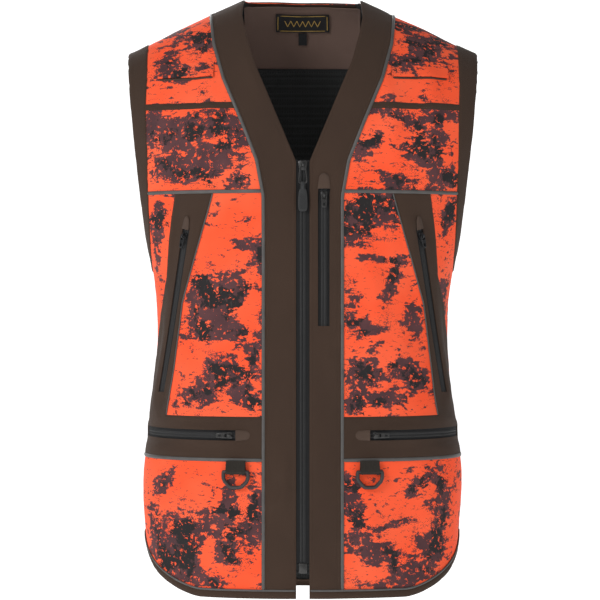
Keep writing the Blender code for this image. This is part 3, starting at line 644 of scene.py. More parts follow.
# %% Windows, inner cloth and thickness
def cut_window(piece, columns, window):
    """Deletes the cells of a net between two rows and two columns."""
    low_row, high_row, low_column, high_column = window
    corner = np.zeros(len(piece.data.loops), int)
    piece.data.loops.foreach_get("vertex_index", corner)
    first = corner.reshape(-1, 4).min(axis=1)
    row, column = first // columns, first % columns
    inside = (row >= low_row) & (row < high_row) & (column >= low_column) & (column < high_column)
    bpy.context.tool_settings.mesh_select_mode = (False, False, True)
    for parts in (piece.data.vertices, piece.data.edges):
        parts.foreach_set("select", np.zeros(len(parts), bool))
    piece.data.polygons.foreach_set("select", inside)
    bpy.ops.object.mode_set(mode="EDIT")
    bpy.ops.mesh.delete(type="FACE")
    bpy.ops.object.mode_set(mode="OBJECT")


def line_inside(piece, lining, outer_faces):
    """Gives the inner shell that Solidify added, which follows the outer faces, its own cloth."""
    piece.data.materials.append(lining)
    index = np.zeros(len(piece.data.polygons), int)
    index[outer_faces:2 * outer_faces] = 1
    piece.data.polygons.foreach_set("material_index", index)
    piece.data.update()


def thicken(piece, wall, offset=-1.0):
    modifier = piece.modifiers.new("thickness", "SOLIDIFY")
    modifier.thickness = wall
    modifier.offset = offset
    bpy.context.view_layer.objects.active = piece
    bpy.ops.object.modifier_apply(modifier=modifier.name)
    piece.select_set(True)
    bpy.ops.object.shade_smooth_by_angle(angle=math.radians(40))


print("materials before the panels:", len(bpy.data.materials))

# %% One panel from its net
def panel(
    name, net, material, slot, nodes=(), lift=0.0, back=False, wall=0.0011, tuck=TUCK,
    pucker=0.00035, print_at=(0.0, 0.0), window=None, stand=None,
):
    """One cut piece of cloth, sewn along all its borders."""
    theta, level = net
    across, up = tape_measure(theta, level, back)
    borders = (across - across[:, :1], across[:, -1:] - across, up - up[:1], up[-1:] - up)
    inside = np.min(np.abs(borders), axis=0)
    shrunk = waves(across, up, 0.0065, 11) + 0.6 * waves(across, up, 0.012, 12)
    height = lift + pucker * shrunk * np.exp(-inside / 0.011) - tuck * (1 - eased(inside, 0, 0.003))
    if stand is not None:
        height = height + stand(across, up, borders)
    points, _ = cloth_points(theta, level, height, back)
    metres = np.stack((across, up), axis=-1)
    if back:
        points, metres = points[:, ::-1], metres[:, ::-1]
    piece = grid_of(name, points, metres + np.array(print_at))
    patches = piece.data.attributes.new("patches", "FLOAT", "POINT")
    shade = print_shade(metres[..., 0], metres[..., 1], back)
    patches.data.foreach_set("value", shade.reshape(-1).astype(np.float32))
    if window:
        cut_window(piece, theta.shape[1], window)
    area = sum(face.area for face in piece.data.polygons)
    flat = (float(np.ptp(across, axis=1).max()), float(np.ptp(up, axis=0).max()))
    outer_faces = len(piece.data.polygons)
    thicken(piece, wall)
    sheet_rows.append((name, flat, area))
    finish_piece(piece, material, "root", nodes)
    if slot == "orange_cloth":
        line_inside(piece, lining_mesh, outer_faces)
    return piece


print("panels sewn so far:", len(sheet_rows))

# %% Where the print is dark
# where the dark of the print falls on the front: across, up, half width, half height, lean in
# degrees, and how dark, below 0 where orange breaks through
DARK_PATCHES = (
    (-0.069, -0.319, 0.020, 0.007, 5, 1.2), (-0.052, -0.335, 0.008, 0.016, 0, 1.6),
    (-0.094, -0.385, 0.038, 0.020, 8, 1.8), (-0.067, -0.392, 0.009, 0.014, -20, -2.0),
    (-0.132, -0.384, 0.012, 0.024, -10, 1.6), (-0.122, -0.424, 0.032, 0.014, 10, 1.5),
    (-0.096, -0.432, 0.030, 0.008, 5, 1.4), (-0.095, -0.478, 0.030, 0.014, -12, 1.6),
    (-0.130, -0.508, 0.030, 0.013, 20, 1.5), (-0.062, -0.455, 0.012, 0.012, 0, 1.2),
    (-0.070, -0.515, 0.020, 0.010, -20, 1.5), (-0.197, -0.289, 0.013, 0.022, -30, 1.6),
    (-0.205, -0.330, 0.010, 0.030, 0, 0.8), (-0.112, -0.212, 0.034, 0.018, 20, 1.5),
    (-0.165, -0.225, 0.030, 0.014, -20, 1.7), (-0.150, -0.180, 0.032, 0.018, 35, 1.7),
    (-0.092, -0.168, 0.022, 0.014, -30, 1.4), (-0.190, -0.170, 0.020, 0.020, 0, 1.5),
    (-0.080, -0.240, 0.014, 0.010, 0, 1.4), (-0.135, -0.050, 0.030, 0.013, -25, 1.6),
    (-0.180, -0.080, 0.014, 0.018, 20, 1.4), (-0.155, -0.100, 0.030, 0.010, 10, 1.2),
    (-0.110, -0.020, 0.014, 0.022, 0, 1.5), (-0.180, -0.010, 0.020, 0.016, 0, 1.2),
    (0.083, -0.282, 0.040, 0.018, 6, 1.9), (0.062, -0.305, 0.020, 0.010, 10, 1.5),
    (0.108, -0.268, 0.012, 0.022, -15, 1.8), (0.092, -0.339, 0.040, 0.0035, -3, 1.6),
    (0.117, -0.362, 0.007, 0.025, -20, 1.7), (0.064, -0.415, 0.014, 0.020, 30, 1.0),
    (0.146, -0.418, 0.014, 0.018, -20, 1.6), (0.092, -0.428, 0.014, 0.005, 10, 1.5),
    (0.075, -0.478, 0.022, 0.016, 30, 1.6), (0.140, -0.484, 0.030, 0.016, -15, 1.7),
    (0.105, -0.515, 0.030, 0.010, 5, 1.5), (0.062, -0.520, 0.012, 0.012, 0, 1.4),
    (0.200, -0.280, 0.012, 0.018, -20, 1.6), (0.205, -0.400, 0.014, 0.040, 0, 1.3),
    (0.120, -0.160, 0.036, 0.006, -25, 1.5), (0.085, -0.195, 0.020, 0.010, 30, 1.4),
    (0.160, -0.205, 0.026, 0.018, 10, 1.8), (0.185, -0.235, 0.022, 0.012, 0, 1.6),
    (0.110, -0.235, 0.026, 0.006, -15, 1.4), (0.175, -0.160, 0.018, 0.012, 20, 1.4),
    (0.170, -0.060, 0.024, 0.020, -30, 1.6), (0.135, -0.085, 0.022, 0.010, 10, 1.4),
    (0.140, -0.020, 0.030, 0.012, 20, 1.4), (0.195, -0.020, 0.016, 0.030, 0, 1.2),
    (-0.188, -0.620, 0.018, 0.011, 32, 1.7), (-0.094, -0.645, 0.010, 0.022, -15, 1.7),
    (-0.060, -0.650, 0.009, 0.032, 0, 1.6), (-0.060, -0.676, 0.018, 0.013, 40, 1.6),
    (-0.150, -0.690, 0.036, 0.024, 15, 1.9), (-0.120, -0.704, 0.007, 0.018, -12, -1.8),
    (-0.095, -0.702, 0.013, 0.020, -10, 1.6), (-0.160, -0.728, 0.030, 0.016, -20, 1.8),
    (-0.115, -0.744, 0.012, 0.007, -20, 1.4), (-0.205, -0.690, 0.014, 0.030, 0, 1.3),
    (0.062, -0.622, 0.010, 0.014, 0, 1.6), (0.066, -0.660, 0.012, 0.020, 20, 1.5),
    (0.150, -0.622, 0.024, 0.010, 20, 1.5), (0.188, -0.645, 0.014, 0.028, 10, 1.7),
    (0.088, -0.706, 0.034, 0.012, -12, 1.6), (0.135, -0.738, 0.032, 0.012, 10, 1.6),
    (0.172, -0.700, 0.022, 0.020, -20, 1.7), (0.115, -0.672, 0.024, 0.004, 15, 1.2),
)


def print_shade(across, up, back):
    """How deep in a dark patch of the print a place is: 0 at its border, below it outside."""
    if back:
        broad = waves(across + 0.3 * up, up, 0.075, 31)
        return 1.1 * broad + 0.8 * waves(across, up - 0.4 * across, 0.038, 32) - 0.05
    shade = np.full(np.shape(across), -0.46)
    for x, z, wide, high, lean, dark in DARK_PATCHES:
        turn = math.radians(lean)
        a = ((across - x) * math.cos(turn) + (up - z) * math.sin(turn)) / wide
        b = ((up - z) * math.cos(turn) - (across - x) * math.sin(turn)) / high
        shade = shade + dark * np.exp(-0.9 * (a * a + b * b))
    return np.clip(shade, -0.9, 1.0)


print("dark patches placed in front:", len(DARK_PATCHES))

# %% [markdown]
# ## Materials from numbers
# Every finish here is made of nodes: smooth random patterns, sums and thresholds. A short
# helper adds one node at a time and joins it up, so that a recipe reads from top to bottom
# like a list of steps. Patterns that belong to cloth read its UV map, in metres, and hard
# pieces read their own coordinates. What is even all over is set on the shader itself.

# %% A recipe for a material
class Recipe:
    """Nodes of one material, added one after another."""

    def __init__(self, name, coordinates="UV", **finish):
        self.material = bpy.data.materials.new(name)
        self.material.use_nodes = True
        self.tree = self.material.node_tree
        self.shader = self.tree.nodes["Principled BSDF"]
        source = self.add("ShaderNodeTexCoord")
        self.place = source.outputs[coordinates]
        for socket, value in finish.items():
            self.set(socket.replace("_", " "), value)

    def add(self, kind, **settings):
        node = self.tree.nodes.new(kind)
        for key, value in settings.items():
            setattr(node, key, value)
        return node

    def feed(self, socket, value):
        if isinstance(value, bpy.types.NodeSocket):
            self.tree.links.new(value, socket)
        else:
            socket.default_value = value

    def set(self, socket, value):
        names = {s.name.lower(): s for s in self.shader.inputs}
        if isinstance(value, tuple) and len(value) == 3 and "radius" not in socket:
            value = (*value, 1.0)
        self.feed(names[socket], value)

    def math(self, operation, a, b=0.0, c=0.0, clamp=False):
        node = self.add("ShaderNodeMath", operation=operation, use_clamp=clamp)
        for socket, value in zip(node.inputs, (a, b, c)):
            self.feed(socket, value)
        return node.outputs[0]

    def moved(self, scale=(1, 1, 1), turn=0.0, shift=(0, 0, 0), place=None):
        node = self.add("ShaderNodeMapping")
        self.feed(node.inputs["Vector"], place or self.place)
        node.inputs["Scale"].default_value = scale
        node.inputs["Rotation"].default_value = (0, 0, math.radians(turn))
        node.inputs["Location"].default_value = shift
        return node.outputs[0]

    def noise(self, scale, detail=2.0, rough=0.5, place=None):
        node = self.add("ShaderNodeTexNoise")
        self.feed(node.inputs["Vector"], place or self.place)
        node.inputs["Scale"].default_value = scale
        node.inputs["Detail"].default_value = detail
        node.inputs["Roughness"].default_value = rough
        return node.outputs["Fac"]

    def bent(self, scale, amount, place=None):
        """Coordinates pushed about by noise, for ragged borders."""
        node = self.add("ShaderNodeTexNoise")
        self.feed(node.inputs["Vector"], place or self.place)
        node.inputs["Scale"].default_value = scale
        node.inputs["Detail"].default_value = 3.0
        push = self.add("ShaderNodeVectorMath", operation="MULTIPLY_ADD")
        self.feed(push.inputs[0], node.outputs["Color"])
        push.inputs[1].default_value = (amount, amount, amount)
        self.feed(push.inputs[2], place or self.place)
        return push.outputs[0]

    def cells(self, scale, place=None, feature="F1", output="Distance", randomness=1.0):
        node = self.add("ShaderNodeTexVoronoi", feature=feature)
        self.feed(node.inputs["Vector"], place or self.place)
        node.inputs["Scale"].default_value = scale
        node.inputs["Randomness"].default_value = randomness
        return node.outputs[output]

    def ribs(self, scale, turn=0.0, place=None, profile="SIN"):
        node = self.add("ShaderNodeTexWave", wave_profile=profile, bands_direction="X")
        self.feed(node.inputs["Vector"], self.moved(turn=turn, place=place))
        node.inputs["Scale"].default_value = scale
        return node.outputs["Fac"]

    def step(self, value, low, high):
        node = self.add("ShaderNodeMapRange")
        self.feed(node.inputs["Value"], value)
        node.inputs["From Min"].default_value = low
        node.inputs["From Max"].default_value = high
        return node.outputs["Result"]

    def mix(self, share, a, b):
        node = self.add("ShaderNodeMix", data_type="RGBA")
        colors = [s for s in node.inputs if s.type == "RGBA"]
        self.feed(node.inputs[0], share)
        for socket, value in zip(colors, (a, b)):
            self.feed(socket, (*value, 1.0) if isinstance(value, tuple) else value)
        return next(s for s in node.outputs if s.type == "RGBA")

    def bump(self, height, depth, strength=1.0):
        node = self.add("ShaderNodeBump")
        self.feed(node.inputs["Height"], height)
        node.inputs["Distance"].default_value = depth
        node.inputs["Strength"].default_value = strength
        self.set("normal", node.outputs["Normal"])


print("recipes can call:", [name for name in dir(Recipe) if name[0] != "_"])

# %% Tones from paint-box numbers
def tone(red, green, blue):
    """A screen colour, 0 to 255, as the linear light that shaders count in."""
    parts = [value / 255 for value in (red, green, blue)]
    return tuple(p / 12.92 if p <= 0.04045 else ((p + 0.055) / 1.055) ** 2.4 for p in parts)


print("a mid brown in linear light:", [round(v, 3) for v in tone(60, 46, 40)])

# %% [markdown]
# ### The camouflage print
# The print is bright orange broken by ragged plum and charcoal patches, with stipple at
# their borders, thin torn strokes like twigs, and orange flecks inside the dark. An image
# would be the usual way; nodes keep it sharp at any distance. A vertex attribute says
# roughly where the dark falls, and noise of several sizes then tears its border.

# %% Printed orange cloth
ORANGE = tone(255, 88, 48)
PLUM = tone(76, 50, 53)
CHARCOAL = tone(38, 35, 36)


def camouflage():
    r = Recipe("orange_camouflage", roughness=0.8, specular_ior_level=0.25)
    patches = r.add("ShaderNodeAttribute", attribute_name="patches").outputs["Fac"]
    torn = r.bent(70, 0.009)
    ragged = r.math("SUBTRACT", r.noise(48, 9.0, 0.68, torn), 0.5)
    lean = r.moved((0.5, 1.7, 1), 24, place=torn)
    strokes = r.math("SUBTRACT", r.noise(95, 6.0, 0.62, lean), 0.5)
    depth = r.math("MULTIPLY_ADD", patches, 0.40, r.math("MULTIPLY", ragged, 1.55))
    depth = r.math("MULTIPLY_ADD", strokes, 1.15, depth)
    dark = r.step(depth, 0.0, 0.012)
    dots = r.cells(760)
    soft_side = r.step(r.noise(17, 2.0, 0.5, r.moved(shift=(5, 2, 0))), 0.46, 0.56)
    room = r.math("MULTIPLY", r.step(depth, -0.30, 0.03), soft_side)
    stipple = r.math("LESS_THAN", dots, r.math("MULTIPLY", room, 0.52))
    islands = r.step(r.noise(230, 4.0, 0.6, lean), 0.625, 0.632)
    near = r.step(depth, -0.42, -0.12)
    dark = r.math("MAXIMUM", dark, r.math("MAXIMUM", stipple, r.math("MULTIPLY", islands, near)))
    flecks = r.step(r.noise(165, 5.0, 0.7, torn), 0.590, 0.598)
    dark = r.math("MULTIPLY", dark, r.math("SUBTRACT", 1.0, flecks))
    elsewhere = r.moved(shift=(3.1, 1.7, 0), place=torn)
    second = r.math("SUBTRACT", r.noise(30, 9.0, 0.66, elsewhere), 0.5)
    deep = r.step(r.math("MULTIPLY_ADD", patches, 0.10, second), 0.065, 0.10)
    bark = r.step(r.noise(150, 4.0, 0.6, r.moved((1.8, 0.5, 1), 8)), 0.60, 0.66)
    plum = r.mix(r.step(r.noise(26, 3.0), 0.4, 0.6), PLUM, tone(92, 58, 60))
    charcoal = r.mix(r.math("MULTIPLY", bark, 0.22), CHARCOAL, tone(92, 90, 84))
    orange = r.mix(r.step(r.noise(13, 2.0), 0.35, 0.65), ORANGE, tone(255, 100, 62))
    printed = r.mix(deep, plum, charcoal)
    r.set("base color", r.mix(dark, orange, printed))
    weave = r.math("MULTIPLY", r.ribs(330), r.ribs(330, 90))
    r.bump(r.math("MULTIPLY_ADD", r.noise(500, 2.0), 0.6, weave), 0.00012, 0.5)
    return r.material


orange_cloth = camouflage()
print("printed cloth:", orange_cloth.name)

# %% [markdown]
# ### Plain cloths, tapes and webbing
# Each of these is one weave at its own scale: a twill has slanting ribs, a tape has a
# herringbone, webbing has coarse rows and a lining has rows of small holes. Ribs come from
# a wave pattern, and the colour follows the ribs a little, because threads shade each other.

# %% Woven finishes
def woven(name, dark, light, ribs, turn, depth, rough=0.85, fuzz=0.03, blotch=9.0):
    r = Recipe(name, roughness=rough, specular_ior_level=0.25, sheen_weight=fuzz, sheen_roughness=0.6)
    threads = r.math("MULTIPLY", r.ribs(ribs, turn), r.ribs(ribs * 1.9, turn + 90))
    cloudy = r.noise(blotch, 3.0)
    grain = r.noise(900, 2.0)
    broad = r.math("MULTIPLY_ADD", grain, 0.4, r.math("MULTIPLY", cloudy, 0.45))
    share = r.math("MULTIPLY_ADD", threads, 0.25, broad, clamp=True)
    r.set("base color", r.mix(share, dark, light))
    r.bump(r.math("MULTIPLY_ADD", grain, 0.5, threads), depth)
    return r.material


brown_twill = woven("brown_twill", tone(46, 33, 25), tone(75, 56, 44), 250, 35, 0.00018)
# The neck facing is the brown twill painted lighter: painted light that offsets the shade inside the back
# neck.
painted_light_facing_twill = woven("painted_light_facing_twill", tone(84, 66, 58), tone(128, 104, 94), 300, 35, 0.00015)
brown_fold = woven("brown_garage_twill", tone(58, 45, 38), tone(92, 74, 63), 250, 35, 0.00018)
black_tape = woven("black_zip_tape", tone(15, 15, 16), tone(36, 36, 37), 520, 45, 0.00012)
strap_web = woven("dark_webbing", tone(28, 25, 22), tone(58, 52, 45), 150, 0, 0.0003)
label_satin = woven("label_satin", tone(12, 12, 13), tone(34, 34, 36), 700, 0, 0.00008, 0.55)
gold_thread = woven("gold_thread", tone(150, 118, 50), tone(205, 168, 88), 600, 20, 0.00012, 0.45)
brown_thread = woven("brown_thread", tone(52, 40, 34), tone(96, 80, 70), 900, 45, 0.0001)


print("printed and woven finishes:", len(bpy.data.materials))

# %% Reflective tape and mesh
def reflective():
    """Grey tape with glass beads: dull from most sides, with small bright glints painted as lighter
    specks in its colour.
    """
    r = Recipe("grey_reflective", roughness=0.5)
    cloudy = r.noise(60, 4.0, 0.6)
    beads = r.noise(2600, 1.0)
    # the bead specks lighten the colour: painted glints, while their bump is real grain
    share = r.math("MULTIPLY_ADD", beads, 0.5, r.math("MULTIPLY", cloudy, 0.6), clamp=True)
    r.set("base color", r.mix(share, tone(40, 38, 37), tone(100, 98, 96)))
    r.bump(beads, 0.0001)
    return r.material


grey_reflective = reflective()


def mesh_lining():
    """A black knit in rows of small holes."""
    r = Recipe("black_lining_mesh", roughness=0.8, sheen_weight=0.1)
    holes = r.cells(290, r.moved((1.0, 0.62, 1)), randomness=0.12)
    open_hole = r.math("SUBTRACT", 1.0, r.step(holes, 0.22, 0.34))
    rows = r.ribs(34, 90)
    knit = r.mix(rows, tone(14, 15, 15), tone(30, 32, 32))
    # the open holes are painted near black: painted shade for the dark seen through them
    r.set("base color", r.mix(open_hole, knit, tone(4, 4, 4)))
    r.bump(r.math("MULTIPLY_ADD", open_hole, -1.0, r.math("MULTIPLY", rows, 0.4)), 0.0004)
    return r.material


lining_mesh = mesh_lining()
print("materials so far:", len(bpy.data.materials))

# %% [markdown]
# ### Metal, nylon and moulded plastic
# The sliders are painted metal with a fine mottled grain; the coil is nylon with a
# soft gloss; the rings and the grip are moulded, with a fine spark-eroded grain.

# %% Hard finishes
def hard(name, dark, light, grain, depth, **finish):
    r = Recipe(name, "Object", **finish)
    fine = r.noise(grain, 3.0, 0.6)
    broad = r.math("MULTIPLY", r.noise(grain / 9, 2.0), 0.4)
    share = r.math("MULTIPLY_ADD", fine, 0.6, broad, clamp=True)
    r.set("base color", r.mix(share, dark, light))
    r.bump(fine, depth)
    return r.material


painted_metal = hard(
    "gunmetal_paint", tone(40, 40, 40), tone(88, 87, 86),
    900, 0.00005, roughness=0.34, metallic=0.75,
)
black_metal = hard(
    "black_paint", tone(18, 18, 19), tone(52, 52, 54),
    900, 0.00005, roughness=0.28, metallic=0.4,
)
nylon_coil = hard("nylon_coil", tone(15, 15, 16), tone(34, 34, 35), 1400, 0.00005, roughness=0.65)
moulded = hard("moulded_plastic", tone(34, 30, 30), tone(58, 52, 52), 1300, 0.00008, roughness=0.48)
rubber_grip = hard("soft_grip", tone(20, 21, 22), tone(42, 43, 44), 1300, 0.00008, roughness=0.5)
print("materials:", len(bpy.data.materials))

# %% [markdown]
# ## The orange panels
# The front has a yoke over the shoulder, a chest panel, and below the reflective seam a
# front and a side panel with the hand pocket between them; under the waist is the skirt.
# Each runs a few millimetres under the brown cloth that is sewn over its border. The print
# is cut without matching, so every panel starts it at another place.

# %% Orange cloth of both fronts
front_side = cloth_side()


def shoulder_net(low, high, inner, columns, rows):
    return patch(inner, front_side, low, high, shares(0, columns), shares(0, rows))


front_parts = {
    "front_yoke": (level_edge(TAPE_BOTTOM + 0.002), None, edge(piping_edge, -UNDER), 0.10, 0.16),
    "chest_panel": (
        level_edge(STRIP_BOTTOM + 0.002), level_edge(TAPE_TOP - 0.002),
        edge(piping_edge, -UNDER), 0.14, 0.11,
    ),
}
front_nets = {
    name: shoulder_net(low, high, inner, wide, tall)
    for name, (low, high, inner, wide, tall) in front_parts.items()
}
waist_under = level_edge(WAIST_TOP - UNDER)
front_nets["front_panel"] = patch(
    edge(piping_edge, -UNDER), edge(pocket_inner, UNDER), waist_under, level_edge(STRIP_TOP - 0.001),
    shares(0, 0.13), shares(0, 0.29),
)
front_nets["side_panel"] = patch(
    lambda z: pocket_outer(z) - 0.03, front_side, waist_under, level_edge(STRIP_TOP - 0.001),
    shares(0, 0.07), shares(0, 0.29),
)
front_nets["skirt_panel"] = patch(
    edge(straight(PLACKET_X), -UNDER), steady(SIDE), hem_edge(rise=0.002),
    level_edge(WAIST_BOTTOM + UNDER), shares(0, 0.20), shares(0, 0.175),
)
print_starts = {
    "front_yoke": (0.31, 0.12), "chest_panel": (1.24, 0.53), "front_panel": (2.17, 0.91),
    "side_panel": (0.66, 1.42), "skirt_panel": (1.73, 1.88),
}
for node, net in front_nets.items():
    du, dv = print_starts[node]
    for side, sided in (("left", net), ("right", other_side(net))):
        start = (du, dv) if side == "left" else (du + 0.47, dv + 0.29)
        panel(
            f"{node}_{side}_cloth", sided, orange_cloth, "orange_cloth",
            (f"{node}_{side}",), print_at=start,
        )
print("orange front panels:", len(sheet_rows))

# %% [markdown]
# ## The back
# The back is one wide panel under a yoke, with a skirt below the waist seam. It is not
# seen from the front, so it follows the usual cut of such a vest and matches the front's
# seams where they meet at the sides.

# %% Orange cloth of the back
back_side = cloth_side(BACK_DEPTH)
back_nets = {
    "back_yoke": patch(
        steady(0.0), back_side, level_edge(TAPE_BOTTOM + 0.002), neckline,
        shares(0, 0.19, lips=(0.0036,)), shares(0, 0.17), back=True,
    ),
    "back_panel": patch(
        steady(0.0), back_side, level_edge(WAIST_BOTTOM - 0.001), level_edge(TAPE_TOP - 0.002),
        shares(0, 0.22), shares(0, 0.45), back=True,
    ),
    "back_skirt": patch(
        steady(0.0), steady(SIDE), hem_edge(BACK_HEM_DROP, 0.002), level_edge(WAIST_BOTTOM + 0.001),
        shares(0, 0.22), shares(0, 0.19), back=True,
    ),
}
for index, (node, net) in enumerate(back_nets.items()):
    panel(
        f"{node}_cloth", both_halves(net), orange_cloth, "orange_cloth", (node,), back=True,
        print_at=(2.9 + 0.71 * index, 0.43 * index),
    )


print("cut at the back:", sorted(back_nets))

# %% [markdown]
# ## Brown plackets, bands and pockets
# The brown cloth is sewn on top of the orange, so it stands about a millimetre higher.
# Where a zip shows, the panel has a window: rows and columns of its net are placed on the
# window's borders, and the cells between them are deleted.

# %% The plackets beside the main zip
BROWN_LIFT = 0.0010


def t_of(z):
    """A height below the chest as metres of level."""
    return level_of(z) * LEVEL_STEP


chest_window = (CHEST_ZIP_X - CHEST_HALF - 0.0005, CHEST_ZIP_X + CHEST_HALF + 0.0005)
placket_x = ladder(0.0083, *chest_window, PLACKET_X - 0.0008)
placket_t = ladder(t_of(HEM_Z + 0.002), t_of(CHEST_ZIP_Z[0]), t_of(CHEST_ZIP_Z[1]), LEVEL_STEP * 1.003)
placket_net = patch(
    edge(neck_edge), edge(piping_edge, -0.0008), level_edge(HEM_Z + 0.002), None,
    (placket_x - placket_x[0]) / np.ptp(placket_x), (placket_t - placket_t[0]) / np.ptp(placket_t),
)


def nearest(run, value):
    return int(np.argmin(np.abs(run - value)))


def placket_stand(_across, _up, borders):
    """A folded inner border, stitched down beside the fold."""
    inner = np.minimum(np.abs(borders[0]), np.abs(borders[1]))
    return -0.0005 * np.exp(-(((inner - 0.0042) / 0.0009) ** 2))


window_cells = (
    nearest(placket_t, t_of(CHEST_ZIP_Z[0])), nearest(placket_t, t_of(CHEST_ZIP_Z[1])),
    nearest(placket_x, chest_window[0]), nearest(placket_x, chest_window[1]),
)
for side, net, window in (
    ("left", placket_net, window_cells), ("right", other_side(placket_net), None),
):
    panel(
        f"placket_{side}_cloth", net, brown_twill, "brown_cloth", (f"placket_{side}",),
        lift=BROWN_LIFT, window=window, stand=placket_stand, wall=0.0014,
    )


print("placket pieces:", [row[0] for row in sheet_rows if "placket" in row[0]])

# %% The yoke tapes and the waist bands
tape_net = patch(
    edge(piping_edge, -0.002), front_side, level_edge(TAPE_BOTTOM), level_edge(TAPE_TOP),
    shares(0, 0.14), shares(0, 0.008, cell=0.002, lips=(0.001, 0.002)),
)
waist_angles = ladder(
    float(angle_of(np.array(PLACKET_X - 0.003), np.array(WAIST_ZIP_Z))),
    math.atan2(waist_line.place(0.0)[0], -waist_line.place(0.0)[1]),
    math.atan2(waist_line.place(waist_line.length)[0], -waist_line.place(waist_line.length)[1]),
    SIDE, cell=0.026, lips=(0.005, 0.012, 0.022),
)
waist_half = WAIST_HALF + 0.0005
waist_heights = ladder(WAIST_BOTTOM, WAIST_ZIP_Z - waist_half, WAIST_ZIP_Z + waist_half, WAIST_TOP)
waist_net = np.meshgrid(waist_angles, level_of(waist_heights))
waist_cells = (
    nearest(waist_heights, WAIST_ZIP_Z - waist_half), nearest(waist_heights, WAIST_ZIP_Z + waist_half),
    nearest(waist_angles, math.atan2(waist_line.place(0.0)[0], -waist_line.place(0.0)[1])),
    len(waist_angles) - 1 - nearest(waist_angles[::-1], WAIST_ZIP_END),
)
for side in ("left", "right"):
    mirror = (lambda net: net) if side == "left" else other_side
    columns = len(waist_angles)
    low_row, high_row, low_column, high_column = waist_cells
    if side == "right":
        low_column, high_column = columns - 1 - high_column, columns - 1 - low_column
    panel(
        f"yoke_tape_{side}_cloth", mirror(tape_net), brown_twill, "brown_cloth",
        (f"yoke_tape_{side}",), lift=0.0009, tuck=0.0006, pucker=0.0006,
    )
    panel(
        f"waist_band_{side}_cloth", mirror(waist_net), brown_twill, "brown_cloth",
        (f"waist_band_{side}",), lift=BROWN_LIFT, wall=0.0014,
        window=(low_row, high_row, low_column, high_column),
    )


print("waist pieces:", [row[0] for row in sheet_rows if "waist" in row[0]])

# %% The slanted hand pocket panels
hand_half = HAND_HALF + 0.0012
z_foot, z_top = float(hand_line.place(hand_line.length)[2]), float(hand_line.top[2])
pocket_heights = ladder(WAIST_TOP - UNDER, z_foot, z_top, STRIP_BOTTOM + 0.001)


def window_angles(heights, shift):
    """Angles of a hand zip's window border, run on straight past both its ends."""
    distance = (heights - hand_line.top[2]) / hand_line.along[2]
    points = hand_line.place(distance, shift)
    return np.arctan2(points[..., 0], -points[..., 1])


window_sides = sorted(
    (window_angles(pocket_heights, hand_half), window_angles(pocket_heights, -hand_half)),
    key=lambda angles: float(angles.mean()),
)
pocket_edges = np.stack(
    (edge(pocket_inner)(pocket_heights), *window_sides, pocket_outer(pocket_heights)), axis=1
)
for row in (0, -1):
    print("pocket edges, degrees:", np.round(np.degrees(pocket_edges[row]), 1))
guard = 0.02
inner_side, outer_side = pocket_edges[:, 0], pocket_edges[:, 3]
pocket_edges[:, 1] = np.clip(pocket_edges[:, 1], inner_side + guard, outer_side - 3 * guard)
pocket_edges[:, 2] = np.clip(pocket_edges[:, 2], pocket_edges[:, 1] + guard, outer_side - guard)
pocket_steps = np.concatenate((shares(0, 0.03), 1 + shares(0, 0.009)[1:], 2 + shares(0, 0.03)[1:]))
pocket_theta = np.array([np.interp(pocket_steps, range(4), row) for row in pocket_edges])
pocket_level = level_of(pocket_heights)[:, None] + 0 * pocket_theta
pocket_net = (pocket_theta, pocket_level)
pocket_cells = (
    nearest(pocket_heights, z_foot), nearest(pocket_heights, z_top),
    nearest(pocket_steps, 1.0), nearest(pocket_steps, 2.0),
)
for side in ("left", "right"):
    columns = len(pocket_steps)
    low_row, high_row, low_column, high_column = pocket_cells
    if side == "right":
        low_column, high_column = columns - 1 - high_column, columns - 1 - low_column
    panel(
        f"pocket_panel_{side}_cloth", pocket_net if side == "left" else other_side(pocket_net),
        brown_twill, "brown_cloth", (f"pocket_panel_{side}",), lift=BROWN_LIFT, wall=0.0014,
        window=(low_row, high_row, low_column, high_column),
    )
print("panels so far:", len(sheet_rows))

# %% [markdown]
# ## Bands and bindings
# An armhole is finished with a band of doubled cloth, and the hem with a narrow binding
# folded round the raw edge. Both are rings or strips whose border rolls over, so their
# nets carry on past the edge and turn in under it.

# %% The armhole bands
BAND_STATIONS = 70


def band_places(foot, tip, share):
    top = float(shoulder_z(np.array(tip)))
    z = foot + (top - foot) * np.sin(share * QUARTER) ** 2
    return band_x(z, foot, tip), z


def armhole_net(back, across):
    """Angles and levels of one half of the band, from the armpit to the shoulder seam."""
    share = np.linspace(0, 1, BAND_STATIONS)
    inner_x, inner_z = band_places(BAND_PIT_Z, BAND_TOP_X, share)
    outer_x, outer_z = band_places(ARMPIT_Z, SHOULDER_TIP_X, share)
    x = inner_x * (1 - across[:, None]) + outer_x * across[:, None]
    z = inner_z * (1 - across[:, None]) + outer_z * across[:, None]
    depth = BACK_DEPTH if back else FRONT_DEPTH
    return angle_of(x, z, depth), level_at(z, x)


print("stations round half an armhole:", BAND_STATIONS)

